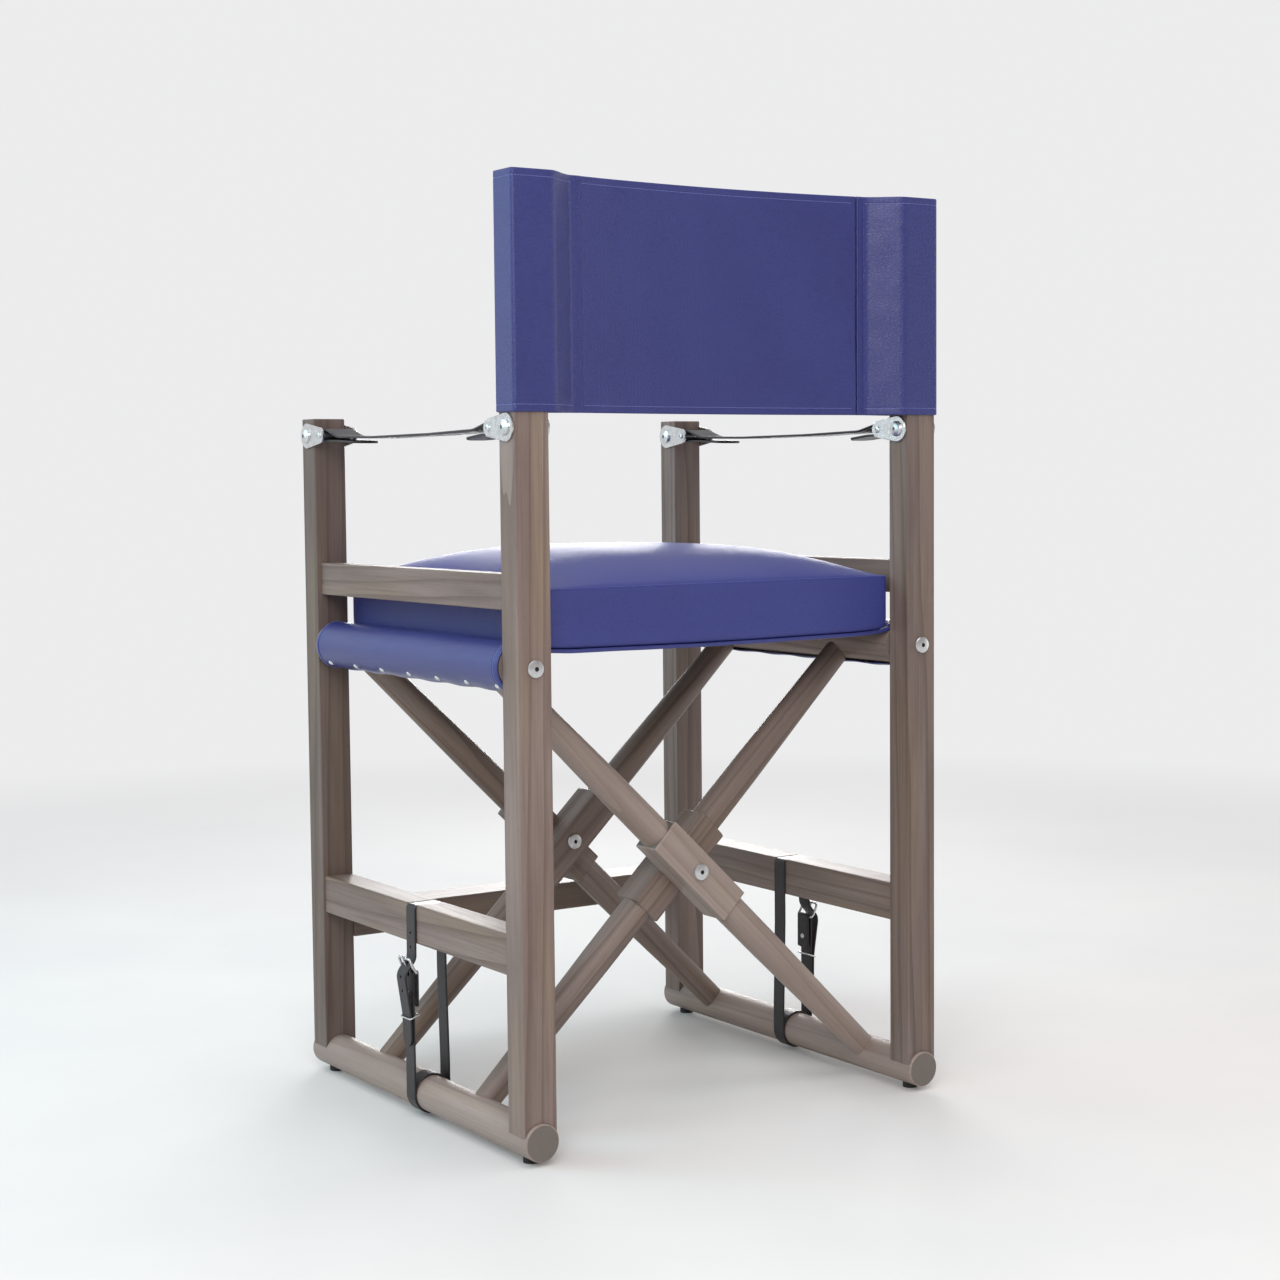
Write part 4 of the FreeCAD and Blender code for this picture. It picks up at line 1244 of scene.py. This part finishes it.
def across_seat(piece, row, node, look, thread_look):
    """Puts a leather that lies across the chair and its stitches on the left frame, each with a mesh of its
    own.
    """
    put(piece, "side_frame_left", look, [node])
    put(row, "side_frame_left", thread_look)
    for obj in (piece, row):
        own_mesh(obj)


def both_sides(left, bodies, material, node=None):
    """Puts a left-hand piece and its mirrored twin on their bodies, in place of a pair of nodes."""
    made = [left, mirror_object(left, left.name.replace("_left", "_right"))]
    for obj, side, body in zip(made, SIDES, bodies):
        put(obj, body, material, [node + "_" + side] if node else [])
    return made


FRAMES = ("side_frame_left", "side_frame_right")
ROLLS = ("outer_leg_frame", "inner_leg_frame")
PRONGS = ("prong_left", "prong_right")


def build_soft_pieces():
    panel, panel_thread, length = back_panel()
    across_seat(panel, panel_thread, "back_panel", BACK, BLUE_THREAD)

    sleeve, hems, seam, length = back_sleeve()
    skins = both_sides(sleeve, FRAMES, BACK, "back_sleeve")
    both_sides(hems, FRAMES, BLUE_THREAD)
    both_sides(seam, FRAMES, NAVY_THREAD)

    sling, sling_thread, length = seat_sling()
    across_seat(sling, sling_thread, "seat_sling", SLING, BLUE_THREAD)

    wrap, wrap_thread, length = seat_wrap()
    wraps = both_sides(wrap, ROLLS, ROLL, "seat_wrap")
    both_sides(seat_nails(), ROLLS, STEEL, "seat_nails")
    both_sides(wrap_thread, ROLLS, BLUE_THREAD)

    cushion, loop = seat_cushion()
    across_seat(cushion, cushion_thread(loop), "seat_cushion", SEAT, SEAT_THREAD)

    strap, length = arm_strap()
    straps = both_sides(strap, FRAMES, BLACK, "arm_strap")

    tie, lap, length = tie_strap()
    ties = both_sides(tie, FRAMES, BLACK, "tie_strap")
    laps = both_sides(lap, FRAMES, BLACK)

    both_sides(tie_buckle(), FRAMES, STEEL, "tie_buckle")
    both_sides(tie_keeper(), FRAMES, STEEL, "tie_keeper")
    tongue, barrel = tie_prong()
    both_sides(tongue, PRONGS, STEEL, "tie_prong")
    both_sides(barrel, PRONGS, STEEL)
    bolt_sockets()


# ---- stage ----
LIGHTS = (               # name, place, aim, size, power, colour, spread
    ("window", (2.7, -1.4, 2.0), (0, 0, 0.5), (2.2, 2.2), 40, (0.46, 0.88, 1.0), 180),
    ("curtain", (-1.95, -2.95, 1.0), (0, 0, 0.66), (1.5, 0.9), 14, (1.0, 0.99, 0.98), 80),
    ("room", (1.9, 3.0, 2.3), (0, 0, 0.5), (2.0, 1.8), 72, (1.0, 0.95, 0.92), 180),
    ("doorway", (-3.0, 1.1, 1.0), (0, 0, 0.7), (1.2, 2.0), 10, (1.0, 0.98, 0.96), 180),
    ("ceiling", (0.3, 0.9, 4.6), (0, 0, 0.4), (3.0, 3.0), 62, (0.95, 0.97, 1.0), 180),
)
LENS = 64.6
CAMERA_PLACE = (1.539, 2.393 + MID_Y, 0.7554)
CAMERA_TURNS = (33.40, 4.09, -0.54)      # degrees of heading, downward pitch and roll


def studio_world():
    """A pale backdrop on every side; as light, the side the chair faces is the brighter one."""
    n = Nodes("studio", bpy.data.worlds, "Background")
    way = n.add("TexCoord").outputs["Generated"]
    facing = n.add("VectorMath", {0: way, 1: (0.15, -0.95, 0.1)}, operation="DOT_PRODUCT")
    share = n.add("MapRange", {"Value": facing.outputs["Value"], "From Min": -0.75, "From Max": 0.35},
                  interpolation_type="SMOOTHSTEP").outputs[0]
    seen = n.add("LightPath").outputs["Is Camera Ray"]
    return n.finish(Color=n.mix(seen, n.mix(share, ROOM, SKY), SKY), Strength=SKY_STRENGTH)


def add_light(name, place, aim, size, power, colour, spread):
    data = bpy.data.lights.new(name, "AREA")
    data.shape = "RECTANGLE"
    data.size, data.size_y = size
    data.energy = power
    data.color = colour
    data.spread = math.radians(spread)
    light = bpy.data.objects.new(name, data)
    light.location = place
    way = Vector(aim) - Vector(place)
    light.rotation_euler = way.to_track_quat("-Z", "Y").to_euler()
    light.visible_camera = False
    bpy.context.scene.collection.objects.link(light)


def build_stage():
    scene = bpy.context.scene
    scene.view_settings.view_transform = "Standard"
    scene.view_settings.look = "None"
    scene.world = studio_world()
    floor = new_object("floor", [(-30, -30, 0), (30, -30, 0), (30, 30, 0), (-30, 30, 0)], [(0, 1, 2, 3)],
                       smooth=False)
    paint(floor, floor_material())
    for light in LIGHTS:
        add_light(*light)

    camera_data = bpy.data.cameras.new("camera")
    camera_data.lens = LENS
    camera_data.sensor_width = 36.0
    camera = bpy.data.objects.new("camera", camera_data)
    heading, down, roll = (math.radians(angle) for angle in CAMERA_TURNS)
    forward = Vector((-math.sin(heading) * math.cos(down), -math.cos(heading) * math.cos(down),
                      -math.sin(down)))
    right = forward.cross(Z).normalized()
    up = right.cross(forward)
    turned_right = right * math.cos(roll) + up * math.sin(roll)
    turned_up = turned_right.cross(forward)
    basis = Matrix((turned_right, turned_up, -forward)).transposed()
    camera.matrix_world = Matrix.Translation(CAMERA_PLACE) @ basis.to_4x4()
    scene.collection.objects.link(camera)
    scene.camera = camera


dress_cad_nodes()
build_soft_pieces()
build_stage()
